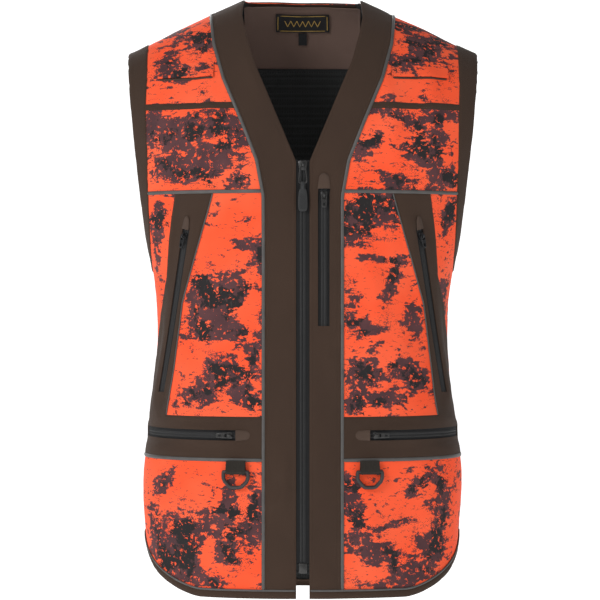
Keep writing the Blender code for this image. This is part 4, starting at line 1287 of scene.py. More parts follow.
# %% Sewing the armhole bands
def armhole_band(side):
    across = shares(0, 0.028, cell=0.003)
    rows = []
    metres = []
    for back in (False, True):
        theta, level = armhole_net(back, across)
        inside = np.minimum(across, 1 - across)[:, None] * 0.028
        fold = -0.0005 * np.exp(-(((across[:, None] * 0.028 - 0.0185) / 0.0010) ** 2))
        edge_roll = -0.0012 * (1 - eased(inside, 0, 0.0028))
        s, t = tape_measure(theta, level, back)
        pucker = 0.0003 * waves(s, t, 0.008, 21)
        flip = 1 if side == "left" else -1
        points, _ = cloth_points(theta * flip, level, 0.0013 + fold + edge_roll + pucker, back)
        order = slice(None, None, -1) if back else slice(None)
        rows.append(points[:, order].swapaxes(0, 1))
        metres.append(np.stack((s, t), axis=-1)[:, order].swapaxes(0, 1))
    points, metres = np.concatenate(rows), np.concatenate(metres)
    # the loop closes at the armpit, where its last row lies on its first
    points, metres = np.concatenate((points, points[:1])), np.concatenate((metres, metres[:1]))
    if side == "left":
        points, metres = points[:, ::-1], metres[:, ::-1]
    piece = grid_of(f"armhole_band_{side}_cloth", points, metres)
    bpy.ops.object.mode_set(mode="EDIT")
    bpy.ops.mesh.select_all(action="SELECT")
    bpy.ops.mesh.remove_doubles(threshold=0.0012)
    bpy.ops.mesh.normals_make_consistent(inside=False)
    bpy.ops.object.mode_set(mode="OBJECT")
    area = sum(face.area for face in piece.data.polygons)
    girth = float(np.linalg.norm(np.diff(points, axis=0), axis=-1).sum(axis=0).max())
    thicken(piece, 0.0022)
    sheet_rows.append((piece.name, (0.034, girth), area))
    return finish_piece(piece, brown_twill, "root", (f"armhole_band_{side}",))


for side in ("left", "right"):
    armhole_band(side)


print("girth of the bands:", [round(row[1][1], 3) for row in sheet_rows[-2:]])

# %% The hem bindings and the shoulder flaps
def binding_net(drop, inner, back=False):
    rows = shares(0, BINDING_HEIGHT, cell=0.002, lips=(0.0008, 0.0018))
    return patch(
        inner, steady(SIDE), hem_edge(drop), hem_edge(drop, BINDING_HEIGHT), shares(0, 0.22), rows, back,
    )


front_hem = binding_net(0.0, edge(straight(0.0083)))
flap_net = patch(
    edge(straight(0.112)), edge(straight(0.184)), level_edge(-0.1095), level_edge(-0.0895),
    shares(0, 0.072), shares(0, 0.020, cell=0.003),
)


def flap_stand(_across, _up, borders):
    """The flap is sewn along its top and stands a little away at its lower border."""
    return 0.0016 * (1 - eased(np.abs(borders[2]), 0.0, 0.016))


for side in ("left", "right"):
    mirror = (lambda net: net) if side == "left" else other_side
    panel(
        f"hem_binding_{side}_cloth", mirror(front_hem), brown_twill, "brown_cloth",
        (f"hem_binding_{side}",), lift=0.0016, wall=0.0030, pucker=0.0003,
    )
    panel(
        f"shoulder_flap_{side}_cloth", mirror(flap_net), orange_cloth, "orange_cloth",
        (f"shoulder_flap_{side}",), lift=0.0018, wall=0.0010, tuck=0.0002, stand=flap_stand,
        print_at=(0.9, 2.2),
    )
panel(
    "back_hem_binding_cloth", both_halves(binding_net(BACK_HEM_DROP, steady(0.0), True)), brown_twill,
    "brown_cloth", ("back_hem_binding",), lift=0.0010, wall=0.0030, back=True,
)

# %% Neck facing, label, tag and mesh lining
facing_net = patch(
    steady(0.0), edge(straight(0.0790), 0, BACK_DEPTH), level_edge(-0.0810),
    lambda theta: neckline(theta) - 0.0010, shares(0, 0.075), shares(0, 0.08), True,
)
label_net = patch(
    steady(0.0), edge(straight(0.0375), 0, BACK_DEPTH), level_edge(-0.0270), level_edge(-0.0045),
    shares(0, 0.0375), shares(0, 0.0225), True,
)
tag_net = patch(
    steady(0.0), edge(straight(0.0060), 0, BACK_DEPTH), level_edge(-0.0440), level_edge(-0.0285),
    shares(0, 0.006, lips=(0.001,)), shares(0, 0.0155, lips=(0.001,)), True,
)


def lining_side(z):
    """The lining ends a little inside the side seams and the armhole bands."""
    return np.minimum(math.radians(80), back_side(z) - 0.04)


lining_net = patch(
    steady(0.0), lining_side, level_edge(-0.7300), level_edge(-0.0760), shares(0, 0.2, cell=0.006),
    shares(0, 0.65, cell=0.006), True,
)
# The facing's lighter twill is painted light for the inside of the back neck.
panel("neck_facing_cloth", both_halves(facing_net), painted_light_facing_twill, "brown_cloth", ("neck_facing",),
      lift=-0.0052, back=True, wall=0.0010, pucker=0.0002)
panel("mesh_lining_cloth", both_halves(lining_net), lining_mesh, "lining_mesh", ("mesh_lining",),
      lift=-0.0066, back=True, wall=0.0008, tuck=0.0)
panel("neck_label_cloth", both_halves(label_net), label_satin, "label_cloth", ("neck_label",),
      lift=-0.0080, back=True, wall=0.0007, tuck=0.0, pucker=0.0001)
panel("size_tag_cloth", both_halves(tag_net), label_satin, "label_cloth", ("size_tag",),
      lift=-0.0080, back=True, wall=0.0007, tuck=0.0, pucker=0.0)


print("flat size of the tag:", np.round(sheet_rows[-1][1], 3))

# %% [markdown]
# ## Piping and grey edging
# Piping is a thin cord in a folded strip, caught in a seam so that only its round shows.
# A curve with a bevel would make a round tube, but sewn piping is flattened and follows the
# cloth, so each run is swept by hand: an oval is placed at every station of the seam.

# %% Runs of piping
OVAL_SIDES = 10


def seam_path(x_at, low, high, cell=0.004):
    """Angles and levels up a seam on the front, given by its x at a height."""
    up = shares(0, 0.8, cell=cell, lips=(0.001,))
    theta, level = patch(edge(x_at), edge(x_at, 0.0005), low, high, np.array((0.0, 1.0)), up)
    return theta[:, 0], level[:, 0]


def piping(
    name, theta, level, width, height, lift, back=False, material=None, nodes=(),
):
    """A flattened cord along a run of places on the cloth, with rounded ends."""
    centre, normal = cloth_points(theta, level, lift, back)
    tangent = unit(np.gradient(centre, axis=0))
    aside = unit(np.cross(normal, tangent))
    station = np.arange(len(theta))
    round_end = np.sqrt(np.clip(np.minimum(station, station[::-1]) / 2, 0, 1))
    turn = np.linspace(0, 2 * math.pi, OVAL_SIDES + 1)
    across = width / 2 * np.cos(turn)[None, :, None] * aside[:, None]
    upward = height / 2 * np.sin(turn)[None, :, None] * normal[:, None]
    points = centre[:, None] + round_end[:, None, None] * (across + upward)
    length = np.concatenate(([0], np.cumsum(np.linalg.norm(np.diff(centre, axis=0), axis=-1))))
    metres = np.stack(np.broadcast_arrays(turn[None] * width / 4, length[:, None]), axis=-1)
    piece = grid_of(name, points, metres)
    bpy.ops.object.mode_set(mode="EDIT")
    bpy.ops.mesh.select_all(action="SELECT")
    bpy.ops.mesh.remove_doubles(threshold=0.00002)
    bpy.ops.mesh.normals_make_consistent(inside=False)
    bpy.ops.object.mode_set(mode="OBJECT")
    bpy.ops.object.shade_smooth()
    return finish_piece(piece, material or grey_reflective, "root", nodes)


print("sides of a cord:", OVAL_SIDES)

# %% Every run of piping and edging
def level_run(z, start, end, count=90):
    """Angles and levels along a level seam."""
    theta = np.linspace(start, end, count)
    x = reach(theta, np.full(count, z), FRONT_DEPTH) * np.sin(theta)
    return theta, level_at(np.full(count, z), x)


strip_z = (STRIP_TOP + STRIP_BOTTOM) / 2
strip_start = float(angle_of(piping_edge(strip_z), np.array(strip_z)))
strip_end = float(front_side(np.array(strip_z))) - 0.02
placket_angle = float(angle_of(np.array(PLACKET_X), np.array(WAIST_BOTTOM)))
hem_start = float(angle_of(np.array(0.0083), np.array(HEM_Z)))
pocket_up = seam_path(pocket_inner, level_edge(WAIST_TOP), level_edge(STRIP_BOTTOM))
placket_up = seam_path(piping_edge, level_edge(HEM_Z + BINDING_HEIGHT), None)
for side, sign in (("left", 1), ("right", -1)):
    piping(f"placket_piping_{side}", sign * placket_up[0], placket_up[1], 0.0042, 0.0020, 0.0008)
    piping(f"pocket_piping_{side}", sign * pocket_up[0], pocket_up[1], 0.0018, 0.0016, 0.0008)
    theta, level = level_run(strip_z, strip_start, strip_end)
    piping(
        f"reflective_strip_{side}_cord", sign * theta, level, 0.0046, 0.0018, 0.0006,
        nodes=(f"reflective_strip_{side}",),
    )
    theta, level = level_run(WAIST_BOTTOM - 0.0004, placket_angle, SIDE)
    piping(f"waist_edging_{side}", sign * theta, level, 0.0044, 0.0018, 0.0008)
    theta = np.linspace(hem_start, SIDE, 120)
    hem_up = hem_edge(rise=BINDING_HEIGHT + 0.0008)(theta)
    level = level_at(hem_up, reach(theta, hem_up, FRONT_DEPTH) * np.sin(theta))
    piping(f"hem_piping_{side}", sign * theta, level, 0.0026, 0.0018, 0.0012)
theta = np.linspace(-SIDE, SIDE, 220)
for name, height, width in (
    ("back_waist_edging", np.full(theta.shape, WAIST_BOTTOM), 0.0040),
    ("back_hem_piping", hem_edge(BACK_HEM_DROP, BINDING_HEIGHT + 0.0008)(theta), 0.0026),
):
    level = level_at(height, np.abs(reach(theta, height, BACK_DEPTH) * np.sin(theta)))
    piping(name, theta, level, width, 0.0018, 0.0006, back=True)

# %% [markdown]
# ## Coil zips
# A coil zip is a woven tape with a nylon spiral sewn along it. Modelling every turn of the
# spiral would cost more than it shows, so each half is a long bead whose height swells and
# falls once per turn, the two beads half a turn apart with a valley between them.

# %% Tapes and coils
COIL_PITCH = 0.00125
ROWS_PER_TURN = 4
SUNK = 0.0006
BEAD_HEIGHT = 0.0009
BEAD_AT, BEAD_HALF = 0.0019, 0.0015


def coil_lift(distance, shift):
    """How far the zip's face stands off its line."""
    turns = distance / COIL_PITCH + 0.5 * (shift > 0)
    swell = 0.74 + 0.26 * np.cos(2 * math.pi * turns)
    bead = np.sqrt(np.clip(1 - ((np.abs(shift) - BEAD_AT) / BEAD_HALF) ** 2, 0, 1))
    return -SUNK + BEAD_HEIGHT * bead * swell


print("turns of coil in a metre:", round(1 / COIL_PITCH))

# %% One strip of zip
def zip_tape(name, line, shifts, start, end, sign, nodes):
    """One strip of zip between two distances, its coil faces with the nylon finish."""
    count = int((end - start) / COIL_PITCH * ROWS_PER_TURN)
    distance, shift = np.meshgrid(np.linspace(start, end, count), shifts, indexing="ij")
    points = line.place(distance, shift, coil_lift(distance, shift)) * np.array((sign, 1, 1))
    if sign > 0:
        points = points[::-1]
    piece = grid_of(name, points, np.stack((shift, distance), axis=-1))
    thicken(piece, 0.0011)
    finish_piece(piece, black_tape, "root", nodes)
    piece.data.materials.append(nylon_coil)
    uv = np.zeros(len(piece.data.loops) * 2)
    piece.data.uv_layers[0].data.foreach_get("uv", uv)
    corners = np.abs(uv.reshape(-1, 2)[:, 0])
    starts = np.zeros(len(piece.data.polygons), int)
    piece.data.polygons.foreach_get("loop_start", starts)
    on_coil = np.maximum.reduceat(corners, starts) < BEAD_AT + BEAD_HALF + 0.0003
    piece.data.polygons.foreach_set("material_index", on_coil.astype(int))
    piece.data.update()
    return piece


print("rows for a turn of coil:", ROWS_PER_TURN)

# %% Every tape
def shift_ladder(outer):
    half = np.array((0.0002, 0.0006, 0.0011, 0.0019, 0.0027, 0.0032, 0.0036, 0.0050, outer))
    return half[half <= outer]


main_shifts = shift_ladder(MAIN_HALF + 0.0030)
for side, sign in (("left", 1), ("right", -1)):
    zip_tape(
        f"main_zip_tape_{side}_coil", main_line, main_shifts, 0.0, main_line.length, sign,
        (f"main_zip_tape_{side}",),
    )
short_zips = (
    ("chest_zip_tape", chest_line, CHEST_HALF, (1,)),
    ("pocket_zip_tape", hand_line, HAND_HALF, (1, -1)),
    ("waist_zip_tape", waist_line, WAIST_HALF, (1, -1)),
)
for node, line, half, signs in short_zips:
    outer = shift_ladder(half + 0.0026)
    both = np.concatenate((-outer[::-1], outer))
    for sign in signs:
        full = node if len(signs) == 1 else f"{node}_{'left' if sign > 0 else 'right'}"
        zip_tape(f"{full}_coil", line, both, -0.004, line.length + 0.004, sign, (full,))


# %% [markdown]
# ## Sliders and pulls
# A slider is a die-cast channel with a bridge on top, and a flat pull hangs from the
# bridge. The outline of each plate is drawn as a circle primitive whose points are moved,
# then extruded and bevelled; holes are cut with a Boolean. One slider is made and copied
# to every zip with its own mesh.

# %% Plates, holes and joining
def plate(name, outline, low, high, soften, upright=False, segments=2):
    """An outline drawn in x and z, or y and z when upright, extruded and softened."""
    bpy.ops.mesh.primitive_circle_add(vertices=len(outline), radius=1, fill_type="NGON")
    piece = bpy.context.object
    piece.name = piece.data.name = name
    drawn = [(low, a, b) if upright else (a, low, b) for a, b in outline]
    piece.data.vertices.foreach_set("co", np.array(drawn, float).reshape(-1))
    piece.data.update()
    move = (high - low, 0, 0) if upright else (0, high - low, 0)
    bpy.ops.object.mode_set(mode="EDIT")
    bpy.ops.mesh.select_all(action="SELECT")
    bpy.ops.mesh.extrude_region_move(TRANSFORM_OT_translate={"value": move})
    bpy.ops.mesh.select_all(action="SELECT")
    bpy.ops.mesh.normals_make_consistent(inside=False)
    bpy.ops.object.mode_set(mode="OBJECT")
    if soften:
        soften_edges(piece, soften, segments)
    return piece


def soften_edges(piece, width, segments=2):
    modifier = piece.modifiers.new("soften", "BEVEL")
    modifier.width = width
    modifier.segments = segments
    modifier.limit_method = "ANGLE"
    modifier.angle_limit = math.radians(35)
    bpy.context.view_layer.objects.active = piece
    bpy.ops.object.modifier_apply(modifier=modifier.name)


print("meshes so far:", len(bpy.data.meshes))

# %% Boring, joining and copying
def bored(piece, *tools):
    """Cuts the tools out of the piece and throws them away."""
    for tool in tools:
        cut = piece.modifiers.new("bore", "BOOLEAN")
        cut.operation = "DIFFERENCE"
        cut.object = tool
        bpy.context.view_layer.objects.active = piece
        bpy.ops.object.modifier_apply(modifier=cut.name)
        bpy.data.objects.remove(tool, do_unlink=True)
    return piece


def joined(name, *parts):
    bpy.ops.object.select_all(action="DESELECT")
    for part in parts:
        part.select_set(True)
    bpy.context.view_layer.objects.active = parts[0]
    if len(parts) > 1:
        bpy.ops.object.join()
    bpy.ops.object.shade_smooth_by_angle(angle=math.radians(35))
    parts[0].name = parts[0].data.name = name
    parts[0].select_set(False)
    return parts[0]


def rod(radius, length, place, sides=16):
    """A round bar along x, for boring eyes."""
    bpy.ops.mesh.primitive_cylinder_add(
        vertices=sides, radius=radius, depth=length, location=place, rotation=(0, QUARTER, 0)
    )
    bpy.ops.object.transform_apply()
    return bpy.context.object


def shape_copy(pattern, name, matrix, body, material, nodes):
    """A copy of a pattern piece with its own mesh, moved to its place."""
    piece = pattern.copy()
    piece.data = pattern.data.copy()
    bpy.context.scene.collection.objects.link(piece)
    piece.name = piece.data.name = name
    piece.data.transform(matrix)
    return finish_piece(piece, material, body, nodes)


# %% The slider and its pull
CLEAR, PLATE = 0.0010, 0.0014
FACE_Y = -CLEAR - PLATE
EYE_RISE = 0.0021


def slider_pattern(name, width, length, eye_drop):
    """Local frame: +Z to the closed end, -Y outwards, the zip's face at y = 0."""
    half = width / 2
    outline = [
        (-half * 0.55, 0.0), (-half * 0.22, -0.0009), (half * 0.22, -0.0009), (half * 0.55, 0.0),
        (half, -0.0012), (half, -length * 0.45), (half * 0.74, -length), (-half * 0.74, -length),
        (-half, -length * 0.45), (-half, -0.0012),
    ]
    front = plate("slider_front", outline, FACE_Y, -CLEAR, 0.00035)
    rear_y = 0.0026
    rear = plate("slider_rear", outline, rear_y, rear_y + PLATE, 0.00035)
    rails = []
    for sign in (-1, 1):
        rail = [
            (sign * half, -0.0014), (sign * half, -length * 0.45), (sign * half * 0.76, -length + 0.0004),
            (sign * (half * 0.76 - 0.0006), -length + 0.0004), (sign * (half - 0.0007), -length * 0.45),
            (sign * (half - 0.0007), -0.0014),
        ]
        rails.append(plate("slider_rail", rail, -CLEAR - 0.0002, -0.0003, 0.0))
    wedge_foot = -length * 0.45
    wedge_line = [(-0.0004, -0.0004), (0.0004, -0.0004), (0.0002, wedge_foot), (-0.0002, wedge_foot)]
    wedge = plate(
        "slider_wedge", wedge_line, FACE_Y + PLATE / 2, rear_y + PLATE / 2, 0.0,
    )
    arch = [(FACE_Y + 0.0005, -eye_drop + 0.0034), (FACE_Y - 0.0018, -eye_drop + 0.0033)]
    for i in range(7):
        turn = math.pi * (0.5 - i / 6)
        arch.append((FACE_Y - 0.0018 - 0.0025 * math.cos(turn), -eye_drop + 0.0032 * math.sin(turn)))
    arch += [(FACE_Y - 0.0018, -eye_drop - 0.0033), (FACE_Y + 0.0005, -eye_drop - 0.0034)]
    bridge = plate("slider_bridge", arch, -0.0011, 0.0011, 0.0003, upright=True)
    bored(bridge, rod(0.0014, 0.01, (0, FACE_Y - EYE_RISE, -eye_drop)))
    return joined(name, front, rear, *rails, wedge, bridge)


print("slider face stands at", FACE_Y)

# %% The pull
def rectangle(half_wide, low, high, corner=0.0):
    """An outline, with its corners cut off."""
    c = corner
    right = [(half_wide - c, low), (half_wide, low + c), (half_wide, high - c), (half_wide - c, high)]
    if not corner:
        right = [(half_wide, low), (half_wide, high)]
    return right + [(-x, z) for x, z in reversed(right)]


def pull_pattern():
    """A tapered flat pull with a raised rim, a window for the bridge and a hole."""
    outline = [
        (-0.0033, 0.0008), (0.0033, 0.0008), (0.0035, -0.0004), (0.0034, -0.0080), (0.0027, -0.0148),
        (0.0019, -0.0157), (-0.0019, -0.0157), (-0.0027, -0.0148), (-0.0034, -0.0080), (-0.0035, -0.0004),
    ]
    body = plate("pull_body", outline, -0.0008, 0.0008, 0.0003)
    window = plate("pull_window", rectangle(0.0023, -0.0054, -0.0008, 0.0006), -0.01, 0.01, 0.0)
    hole = plate("pull_hole", rectangle(0.0014, -0.0136, -0.0098, 0.0004), -0.01, 0.01, 0.0)
    hollow = plate("pull_hollow", rectangle(0.0020, -0.0146, -0.0066, 0.0006), -0.01, -0.00055, 0.0)
    return joined("pull_pattern", bored(body, window, hole, hollow))


print("sliders to be placed:", sum("slider" in name and "loop" not in name for name in frame["nodes"]))

# %% Sliders and pulls on their zips
def hang_swing(matrix):
    """How far a pull turns outwards about its eye to hang straight down."""
    local = matrix.to_3x3().inverted() @ Vector((0, 0, -1))
    return math.atan2(-local.y, -local.z)


FLIP = Matrix.Diagonal((-1, 1, 1, 1))
SMALL_EYE_DROP, MAIN_EYE_DROP = 0.0045, 0.0050
small_slider = slider_pattern("small_slider_pattern", 0.0080, 0.0090, SMALL_EYE_DROP)
main_slider = slider_pattern("main_slider_pattern", 0.0110, 0.0125, MAIN_EYE_DROP)
pull = pull_pattern()


def sunk(line, distance):
    """A place on a zip, sunk by as much as its tape lies below the cloth."""
    move = Matrix.Translation(line.place(distance, 0, -SUNK) - line.place(distance))
    return move @ line.matrix(distance)


places = (
    ("chest", chest_line, 0.0045, (("", False),), True, painted_metal),
    ("pocket", hand_line, 0.0050, (("_left", False), ("_right", True)), True, black_metal),
    ("waist", waist_line, 0.0050, (("_left", False), ("_right", True)), False, painted_metal),
)
for kind, line, distance, sides, hangs, metal in places:
    for ending, mirrored_side in sides:
        matrix = sunk(line, distance)
        true_matrix = FLIP @ matrix @ FLIP if mirrored_side else matrix
        name = f"{kind}_slider{ending}"
        shape_copy(small_slider, f"{name}_metal", true_matrix, name, metal, (name,))
        swing = hang_swing(true_matrix) if hangs else 0.0
        eye = Matrix.Translation((0, FACE_Y - EYE_RISE, -SMALL_EYE_DROP))
        at_eye = true_matrix @ eye @ Matrix.Rotation(-swing, 4, "X")
        name = f"{kind}_pull{ending}"
        shape_copy(pull, f"{name}_metal", at_eye, name, metal, (name,))
main_matrix = sunk(main_line, 0.0004)
shape_copy(
    main_slider, "main_slider_metal", main_matrix, "main_slider", painted_metal,
    ("main_slider",),
)
for pattern in (small_slider, main_slider, pull):
    bpy.data.objects.remove(pattern, do_unlink=True)


# %% [markdown]
# ## The main zip's loop and grip, and the two rings
# Wire parts are drawn as a closed line with a few corners, rounded by cutting each corner
# off again and again, and given a round section by a curve's bevel before they are made a
# mesh. The grip is moulded: a paddle drawn as an outline, softened, with grooves sunk into
# its face for the thumb.

# %% Wire loops
def rounded(places, rounds=3):
    """A closed line with its corners cut off again and again."""
    line = np.array(places, float)
    for _ in range(rounds):
        following = np.roll(line, -1, axis=0)
        line = np.stack((0.75 * line + 0.25 * following, 0.25 * line + 0.75 * following), axis=1)
        line = line.reshape(-1, line.shape[-1])
    return line


print("corners of a square, cut once:", len(rounded([(0, 0), (1, 0), (1, 1), (0, 1)], 1)))

# %% Wire of any outline
def wire(name, places, radius, matrix, body, material, nodes):
    """A closed ring of wire through (x, z) places of a local frame."""
    data = bpy.data.curves.new(name, "CURVE")
    data.dimensions = "3D"
    spline = data.splines.new("POLY")
    spline.points.add(len(places) - 1)
    for point, (x, z) in zip(spline.points, places):
        point.co = (x, 0, z, 1)
    spline.use_cyclic_u = True
    data.bevel_depth = radius
    data.bevel_resolution = 4
    ring = bpy.data.objects.new(name, data)
    bpy.context.scene.collection.objects.link(ring)
    bpy.ops.object.select_all(action="DESELECT")
    ring.select_set(True)
    bpy.context.view_layer.objects.active = ring
    bpy.ops.object.convert(target="MESH")
    ring = bpy.context.object
    ring.name = ring.data.name = name
    ring.data.transform(matrix)
    bpy.ops.object.shade_smooth()
    return finish_piece(ring, material, body, nodes)


print("places for loops and rings:", sum("ring" in name for name in JOINTS))

# %% The slider's loop and the dee rings
LOOP_DROP = 0.0235
loop_eye = main_matrix @ Vector((0, FACE_Y - EYE_RISE, -MAIN_EYE_DROP))
loop_half = [
    (0.0014, 0.0004), (0.0032, -0.0010), (0.0040, -0.0100), (0.0049, -0.0185),
    (0.0048, -LOOP_DROP - 0.0004),
]
loop_line = loop_half + [(-x, z) for x, z in reversed(loop_half)]
wire(
    "slider_loop_wire", rounded(loop_line, 2), 0.0008, Matrix.Translation(loop_eye), "slider_loop",
    painted_metal, ("slider_loop",),
)
ring_half, ring_deep = 0.0156, 0.0200
dee = [
    (ring_half - 0.0006, 0.0), (ring_half + 0.0002, -0.0020), (ring_half, -ring_deep + 0.0092),
    (ring_half - 0.0072, -ring_deep + 0.0016), (ring_half - 0.0100, -ring_deep),
]
dee_line = dee + [(-x, z) for x, z in reversed(dee)]
ring_joint = {side: JOINTS[f"ring_swing_{side}"] for side in ("left", "right")}
for side in ("left", "right"):
    axis = Vector(ring_joint[side]["axis"])
    across = axis if axis.x > 0 else -axis
    out = Vector((across.y, -across.x, 0))
    axes = Matrix((across, -out, Vector((0, 0, 1)))).transposed().to_4x4()
    bar = Matrix.Translation(Vector(ring_joint[side]["pos_m"]))
    wire(
        f"dee_ring_{side}_wire", rounded(dee_line, 1), 0.0025, bar @ axes, f"dee_ring_{side}", moulded,
        (f"dee_ring_{side}",),
    )


print("ring joints:", sorted(ring_joint))

# %% The moulded grip and the stop
grip_top = loop_eye + Vector((0, 0, -LOOP_DROP))
paddle_half = [
    (0.0030, -0.0068), (0.0046, -0.0085), (0.0056, -0.0150), (0.0060, -0.0240),
    (0.0058, -0.0320), (0.0042, -0.0354),
]
paddle_line = paddle_half + [(-x, z) for x, z in reversed(paddle_half)]
paddle_outline = [tuple(place) for place in rounded(paddle_line, 1)]
paddle = plate("grip_paddle", paddle_outline, -0.0016, 0.0016, 0.0008, segments=3)
grooves = [
    plate("grip_groove", rectangle(0.0034, z, z + 0.0009), -0.01, -0.0013, 0.0)
    for z in np.arange(-0.0320, -0.0140, 0.0021)
]
bored(paddle, *grooves)
neck_line = rectangle(0.0022, -0.0080, 0.0019, 0.0007)
neck = plate("grip_neck", neck_line, -0.0017, 0.0017, 0.0006, segments=3)
bored(neck, rod(0.0014, 0.01, (0, 0, 0)))
grip = joined("slider_grip_rubber", paddle, neck)
grip.data.transform(Matrix.Translation(grip_top))
finish_piece(grip, rubber_grip, "slider_grip", ("slider_grip",))
stop_low, stop_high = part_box("main_zip_box")
stop_line = rectangle(0.0049, stop_low.z, stop_high.z, 0.0010)
stop = joined(
    "main_zip_box_moulding",
    plate("main_zip_box_moulding", stop_line, stop_low.y, stop_high.y, 0.0006),
)
finish_piece(stop, painted_metal, "root", ("main_zip_box",))
print("the grip hangs from", tuple(round(v, 4) for v in grip_top))

# %% Webbing tabs
WEB_HALF = 0.0123
for side in ("left", "right"):
    joint = ring_joint[side]
    axis = Vector(joint["axis"])
    across = axis if axis.x > 0 else -axis
    out = Vector((across.y, -across.x, 0))
    axes = Matrix((across, -out, Vector((0, 0, 1)))).transposed().to_4x4()
    bar = Matrix.Translation(Vector(joint["pos_m"]))
    profile = [(0.0018, 0.0134), (0.0020, 0.0090), (0.0027, 0.0045)]
    for i in range(13):
        turn = math.pi * i / 12
        profile.append((0.0038 * math.cos(turn), -0.0038 * math.sin(turn)))
    profile += [(-0.0030, 0.0045), (-0.0012, 0.0090), (-0.0006, 0.0134)]
    profile = np.array(profile)
    xs = np.linspace(-WEB_HALF, WEB_HALF, 21)
    points = np.array([[(x, y, z) for x in xs] for y, z in profile])
    run = np.concatenate(([0], np.cumsum(np.linalg.norm(np.diff(profile, axis=0), axis=1))))
    metres = np.stack(np.broadcast_arrays(xs[None, :], run[:, None]), axis=-1)
    tab = grid_of(f"webbing_tab_{side}_strap", points, metres)
    thicken(tab, 0.0013, offset=-1.0)
    tab.data.transform(bar @ axes)
    finish_piece(tab, strap_web, "root", (f"webbing_tab_{side}",))

# %% [markdown]
# ## Garages, stitching and the label's border
# A zip garage is the little folded tab that the slider parks under. Stitching is modelled
# as real thread: one bead per stitch, following the cloth a set distance from the seam,
# because a line of separate glints is what makes an edge look sewn.

# %% Zip garages
GARAGE_LIFT = 0.0030


def garage(name, line, start, end, half_far, half_near, sign):
    """A rounded tab on the zip's line; `start` is its far end, `end` lies at the slider."""
    share, across = np.meshgrid(np.linspace(0, 1, 15), np.linspace(-1, 1, 13), indexing="ij")
    half = half_far + (half_near - half_far) * share
    half = half * np.sqrt(np.clip(1 - (1 - np.minimum(share / 0.35, 1)) ** 2, 0.02, 1))
    crown = GARAGE_LIFT - 0.0012 * np.abs(across) ** 4 - 0.0006 * (1 - np.minimum(share / 0.1, 1))
    distance = start + (end - start) * share
    points = line.place(distance, across * half, crown) * np.array((sign, 1, 1))
    metres = np.stack((across * half, distance), axis=-1)
    piece = grid_of(name, points[::-1] if sign > 0 else points, metres)
    thicken(piece, 0.0012)
    bpy.ops.object.shade_smooth()
    return finish_piece(piece, brown_fold, "root", ())


garage("chest_garage", chest_line, -0.0185, 0.0012, 0.0058, 0.0082, 1)
for side, sign in (("left", 1), ("right", -1)):
    garage(f"pocket_garage_{side}", hand_line, -0.0160, 0.0012, 0.0040, 0.0062, sign)
    garage(f"waist_garage_{side}", waist_line, -0.0180, 0.0012, 0.0055, 0.0070, sign)


# %% Stitching
STITCH_PITCH = 0.0032
STITCH_HALF = (0.00115, 0.00032, 0.00022)
bpy.ops.mesh.primitive_uv_sphere_add(segments=6, ring_count=4, radius=1)
bead = bpy.context.object
bead_points = np.array([v.co[:] for v in bead.data.vertices])[:, [2, 0, 1]] * np.array(STITCH_HALF)
bead_faces = [tuple(face.vertices) for face in bead.data.polygons]
bpy.data.objects.remove(bead, do_unlink=True)


print("points in one stitch:", len(bead_points))

# %% A line of stitches
def stitches(name, runs, lift=0.0004, back=False):
    """A bead of thread every STITCH_PITCH along each run of angles and levels."""
    beads = []
    for theta, level in runs:
        centre, normal = cloth_points(theta, level, lift, back)
        length = np.concatenate(([0], np.cumsum(np.linalg.norm(np.diff(centre, axis=0), axis=-1))))
        stops = np.arange(STITCH_PITCH / 2, length[-1], STITCH_PITCH)
        place, up = (
            np.stack([np.interp(stops, length, values[:, k]) for k in range(3)], axis=-1)
            for values in (centre, normal)
        )
        along = unit(np.gradient(place, axis=0))
        aside = unit(np.cross(up, along))
        axes = np.stack((along, aside, np.cross(along, aside)), axis=1)
        beads.append(place[:, None] + bead_points[None] @ axes)
    points = np.concatenate(beads)
    count, corners = points.shape[:2]
    faces = [tuple(corners * k + i for i in face) for k in range(count) for face in bead_faces]
    data = bpy.data.meshes.new(name)
    data.from_pydata(points.reshape(-1, 3).tolist(), [], faces)
    data.shade_smooth()
    piece = bpy.data.objects.new(name, data)
    bpy.context.scene.collection.objects.link(piece)
    return finish_piece(piece, brown_thread, "root", ())


print("a stitch every", STITCH_PITCH, "metres")

# %% Every seam that is stitched
def upright_run(x_at, low, high):
    """Angles and levels up a line given by its x at a height."""
    z = np.linspace(low, high, 120)
    x = x_at(z)
    return angle_of(x, z), level_at(z, x)


def hem_run(rise, start):
    theta = np.linspace(start, SIDE - 0.02, 120)
    z = hem_edge(rise=rise)(theta)
    return theta, level_at(z, reach(theta, z, FRONT_DEPTH) * np.sin(theta))


EDGE_IN = 0.0055
hem_start = float(angle_of(np.array(0.0100), np.array(HEM_Z)))
seams = {
    "placket": [
        upright_run(lambda z: piping_edge(z) - EDGE_IN, HEM_Z + 0.012, -0.012),
        upright_run(straight(MAIN_HALF + 0.0032), HEM_Z + 0.012, -0.222),
        upright_run(lambda z: neck_edge(z) + 0.0065, -0.208, -0.012),
    ],
    "waist": [
        level_run(WAIST_TOP - 0.0030, placket_angle + 0.03, SIDE - 0.03, 120),
        level_run(WAIST_BOTTOM + 0.0048, placket_angle + 0.03, SIDE - 0.03, 120),
    ],
    "tape": [
        level_run(TAPE_TOP - 0.0018, 0.62, 1.18, 120),
        level_run(TAPE_BOTTOM + 0.0018, 0.62, 1.18, 120),
    ],
    "pocket": [upright_run(lambda z: pocket_inner(z) + 0.0042, WAIST_TOP + 0.004, STRIP_BOTTOM - 0.004)],
    "armhole": [upright_run(lambda z: band_x(z, BAND_PIT_Z, BAND_TOP_X) + 0.0045, -0.315, -0.080)],
    "hem": [hem_run(0.0068, hem_start)],
}
